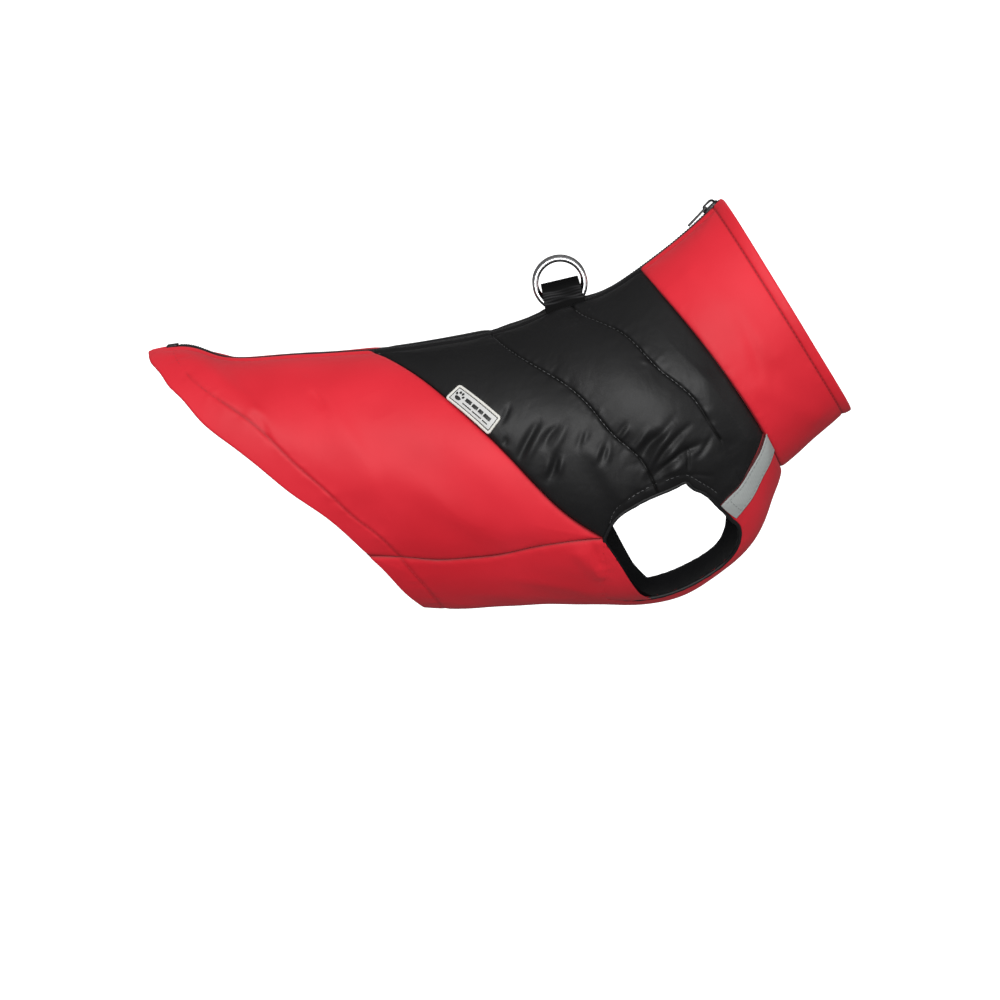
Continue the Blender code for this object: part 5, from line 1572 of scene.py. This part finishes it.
def pull():
    """A flat tab with round edges and an eye for the bridge."""
    curve = bpy.data.curves.new("pull", "CURVE")
    curve.dimensions = "2D"
    curve.fill_mode = "BOTH"
    curve.bevel_depth, curve.bevel_resolution = 0.2, 3
    curve.extrude, curve.offset = PULL_THICK / 2 - 0.2, -0.2
    half, back = PULL_WIDTH / 2, PULL_BAR - PULL_LENGTH

    def corners(rows):
        """A closed outline with round corners, from rows of (x, y, radius), all turning the same way."""
        made = []
        for (x, y, radius), (px, py, _), (nx, ny, _) in zip(rows, rows[-1:] + rows[:-1], rows[1:] + rows[:1]):
            before = (Vector((px, py)) - Vector((x, y))).normalized()
            after = (Vector((nx, ny)) - Vector((x, y))).normalized()
            start, end = Vector((x, y)) + before * radius, Vector((x, y)) + after * radius
            for share in np.linspace(0, 1, 7):
                made.append(start * (1 - share) ** 2 + Vector((x, y)) * 2 * share * (1 - share)
                            + end * share ** 2)
        return made

    eye_front, eye_back = -PULL_BAR, -PULL_BAR - PULL_EYE[0]
    outlines = (
        corners([(PULL_BAR, half * 0.72, 0.5), (PULL_BAR, -half * 0.72, 0.5), (back, -half, 1.5),
                 (back, half, 1.5)]),
        corners([(eye_front, -PULL_EYE[1] / 2, 0.3), (eye_front, PULL_EYE[1] / 2, 0.3),
                 (eye_back, PULL_EYE[1] / 2, 1.0), (eye_back, -PULL_EYE[1] / 2, 1.0)]),
    )
    for points in outlines:
        spline = curve.splines.new("POLY")
        spline.points.add(len(points) - 1)
        spline.use_cyclic_u = True
        for knot, (x, y) in zip(spline.points, points):
            knot.co = (x, y, 0, 1)
    floor = CHAIN_RISE + SEAM_GAP + SLIDER_PLATE
    behind = -BRIDGE_LENGTH / 2 + BRIDGE_WIRE + SEAM_GAP + PULL_BAR
    placed = zip_frame(SLIDER_X, floor) @ Matrix.Translation((behind, 0, PULL_AXIS_RISE))
    placed = placed @ Matrix.Rotation(math.radians(-PULL_DROOP), 4, "Y")
    return meshed("pull_tab", curve, black_enamel, matrix=placed)


for side in SIDES:
    on_coat(zip_tape(side), "black_zip", "zip_tape_" + side)
on_coat(teeth(), "black_zip", "zip_chain")
on_coat(end_box(), "black_zip", "zip_end_box")
on_coat(slider(), "dark_metal", "zip_slider")
on_coat(pull(), "dark_metal", "zip_pull", body="zip_pull")
label_pieces = [on_coat(label_plate(), "label_silver", "label_patch"), on_coat(label_marks(), "label_silver")]


# ---------------------------------------------------------------- camera, floor and lights

def aimed(obj, target):
    way = Vector(target) - obj.location
    obj.rotation_euler = way.to_track_quat("-Z", "Y").to_euler()
    return obj


def build_camera():
    data = bpy.data.cameras.new("camera")
    data.lens, data.sensor_width = 80, 36
    data.clip_start, data.clip_end = 0.05, 40
    camera = bpy.data.objects.new("camera", data)
    camera.location = (-0.0625, -1.3585, 0.1618)
    camera.rotation_euler = (math.radians(78), 0, 0)
    bpy.context.scene.collection.objects.link(camera)
    bpy.context.scene.camera = camera


def area_light(name, place, target, size, power, colour=(1, 1, 1)):
    data = bpy.data.lights.new(name, "AREA")
    data.shape, data.size, data.size_y = "RECTANGLE", *size
    data.energy, data.color = power, colour
    light = bpy.data.objects.new(name, data)
    light.location = place
    bpy.context.scene.collection.objects.link(light)
    return aimed(light, target)


PAPER_BOUNCE = 0.2  # the paper's tone for light that falls from it on the coat
PAPER_GLOW = 0.75  # what the camera sees of the paper besides the light on it


def build_stage():
    """A pale floor that curves up into a pale backdrop."""
    profile = [(-6.0, 0.0)] + [(2.2 + 1.6 * math.sin(math.radians(a)), 1.6 - 1.6 * math.cos(math.radians(a)))
                               for a in range(0, 91, 5)] + [(3.8, 6.0)]
    bm = bmesh.new()
    bmesh.ops.create_grid(bm, x_segments=1, y_segments=len(profile) - 1, size=1)
    rows = sorted({round(vert.co.y, 4) for vert in bm.verts})
    for vert in bm.verts:
        y, z = profile[rows.index(round(vert.co.y, 4))]
        vert.co = (vert.co.x * 7, y, z - 0.45)
    bmesh.ops.scale(bm, vec=(1000, 1000, 1000), verts=bm.verts)
    material, tree, shader = new_material("studio_paper")
    where = node(tree, "ShaderNodeTexCoord")
    grain = node(tree, "ShaderNodeTexNoise", {"Scale": 220.0, "Detail": 3.0})
    link(tree, where.outputs["Object"], grain.inputs["Vector"])
    seen = node(tree, "ShaderNodeLightPath")
    tint = node(tree, "ShaderNodeMix", data_type="RGBA")
    tint.inputs[6].default_value = (PAPER_BOUNCE, PAPER_BOUNCE, PAPER_BOUNCE, 1)
    link(tree, seen.outputs["Is Camera Ray"], tint.inputs["Factor"])
    link(tree, ramp(tree, grain.outputs[0], ((0.3, (0.93, 0.93, 0.93)), (0.7, (0.95, 0.95, 0.95)))),
         tint.inputs[7])
    link(tree, tint.outputs[2], shader.inputs["Base Color"])
    glow = node(tree, "ShaderNodeMix", data_type="RGBA")
    glow.inputs[6].default_value = (0, 0, 0, 1)
    glow.inputs[7].default_value = (PAPER_GLOW, PAPER_GLOW, PAPER_GLOW, 1)
    link(tree, seen.outputs["Is Camera Ray"], glow.inputs["Factor"])
    link(tree, glow.outputs[2], shader.inputs["Emission Color"])
    shader.inputs["Emission Strength"].default_value = 1.0
    shader.inputs["Roughness"].default_value = 0.95
    shader.inputs["Specular IOR Level"].default_value = 0.1
    finished("studio_floor", bm, material)


def build_lights():
    world = bpy.data.worlds.new("studio")
    world.use_nodes = True
    world.node_tree.nodes["Background"].inputs[0].default_value = (1, 1, 1, 1)
    world.node_tree.nodes["Background"].inputs[1].default_value = 0.27
    bpy.context.scene.world = world
    middle = (-0.06, 0.0, -0.06)
    area_light("front_window", (-0.30, -2.6, 0.70), middle, (1.5, 1.0), 54)
    area_light("top_window", (0.1, -0.9, 2.0), middle, (2.2, 0.8), 4)
    area_light("head_window", (2.0, -1.3, 0.5), middle, (0.9, 1.4), 6)
    wash = area_light("floor_wash", (0.0, 2.4, 2.4), (0.0, 2.6, -0.45), (5.0, 2.0), 60)
    wash.visible_glossy = False
    scene = bpy.context.scene
    scene.view_settings.view_transform = "Standard"
    scene.view_settings.look = "None"
    scene.view_settings.exposure = 0.0


build_camera()
build_stage()
build_lights()
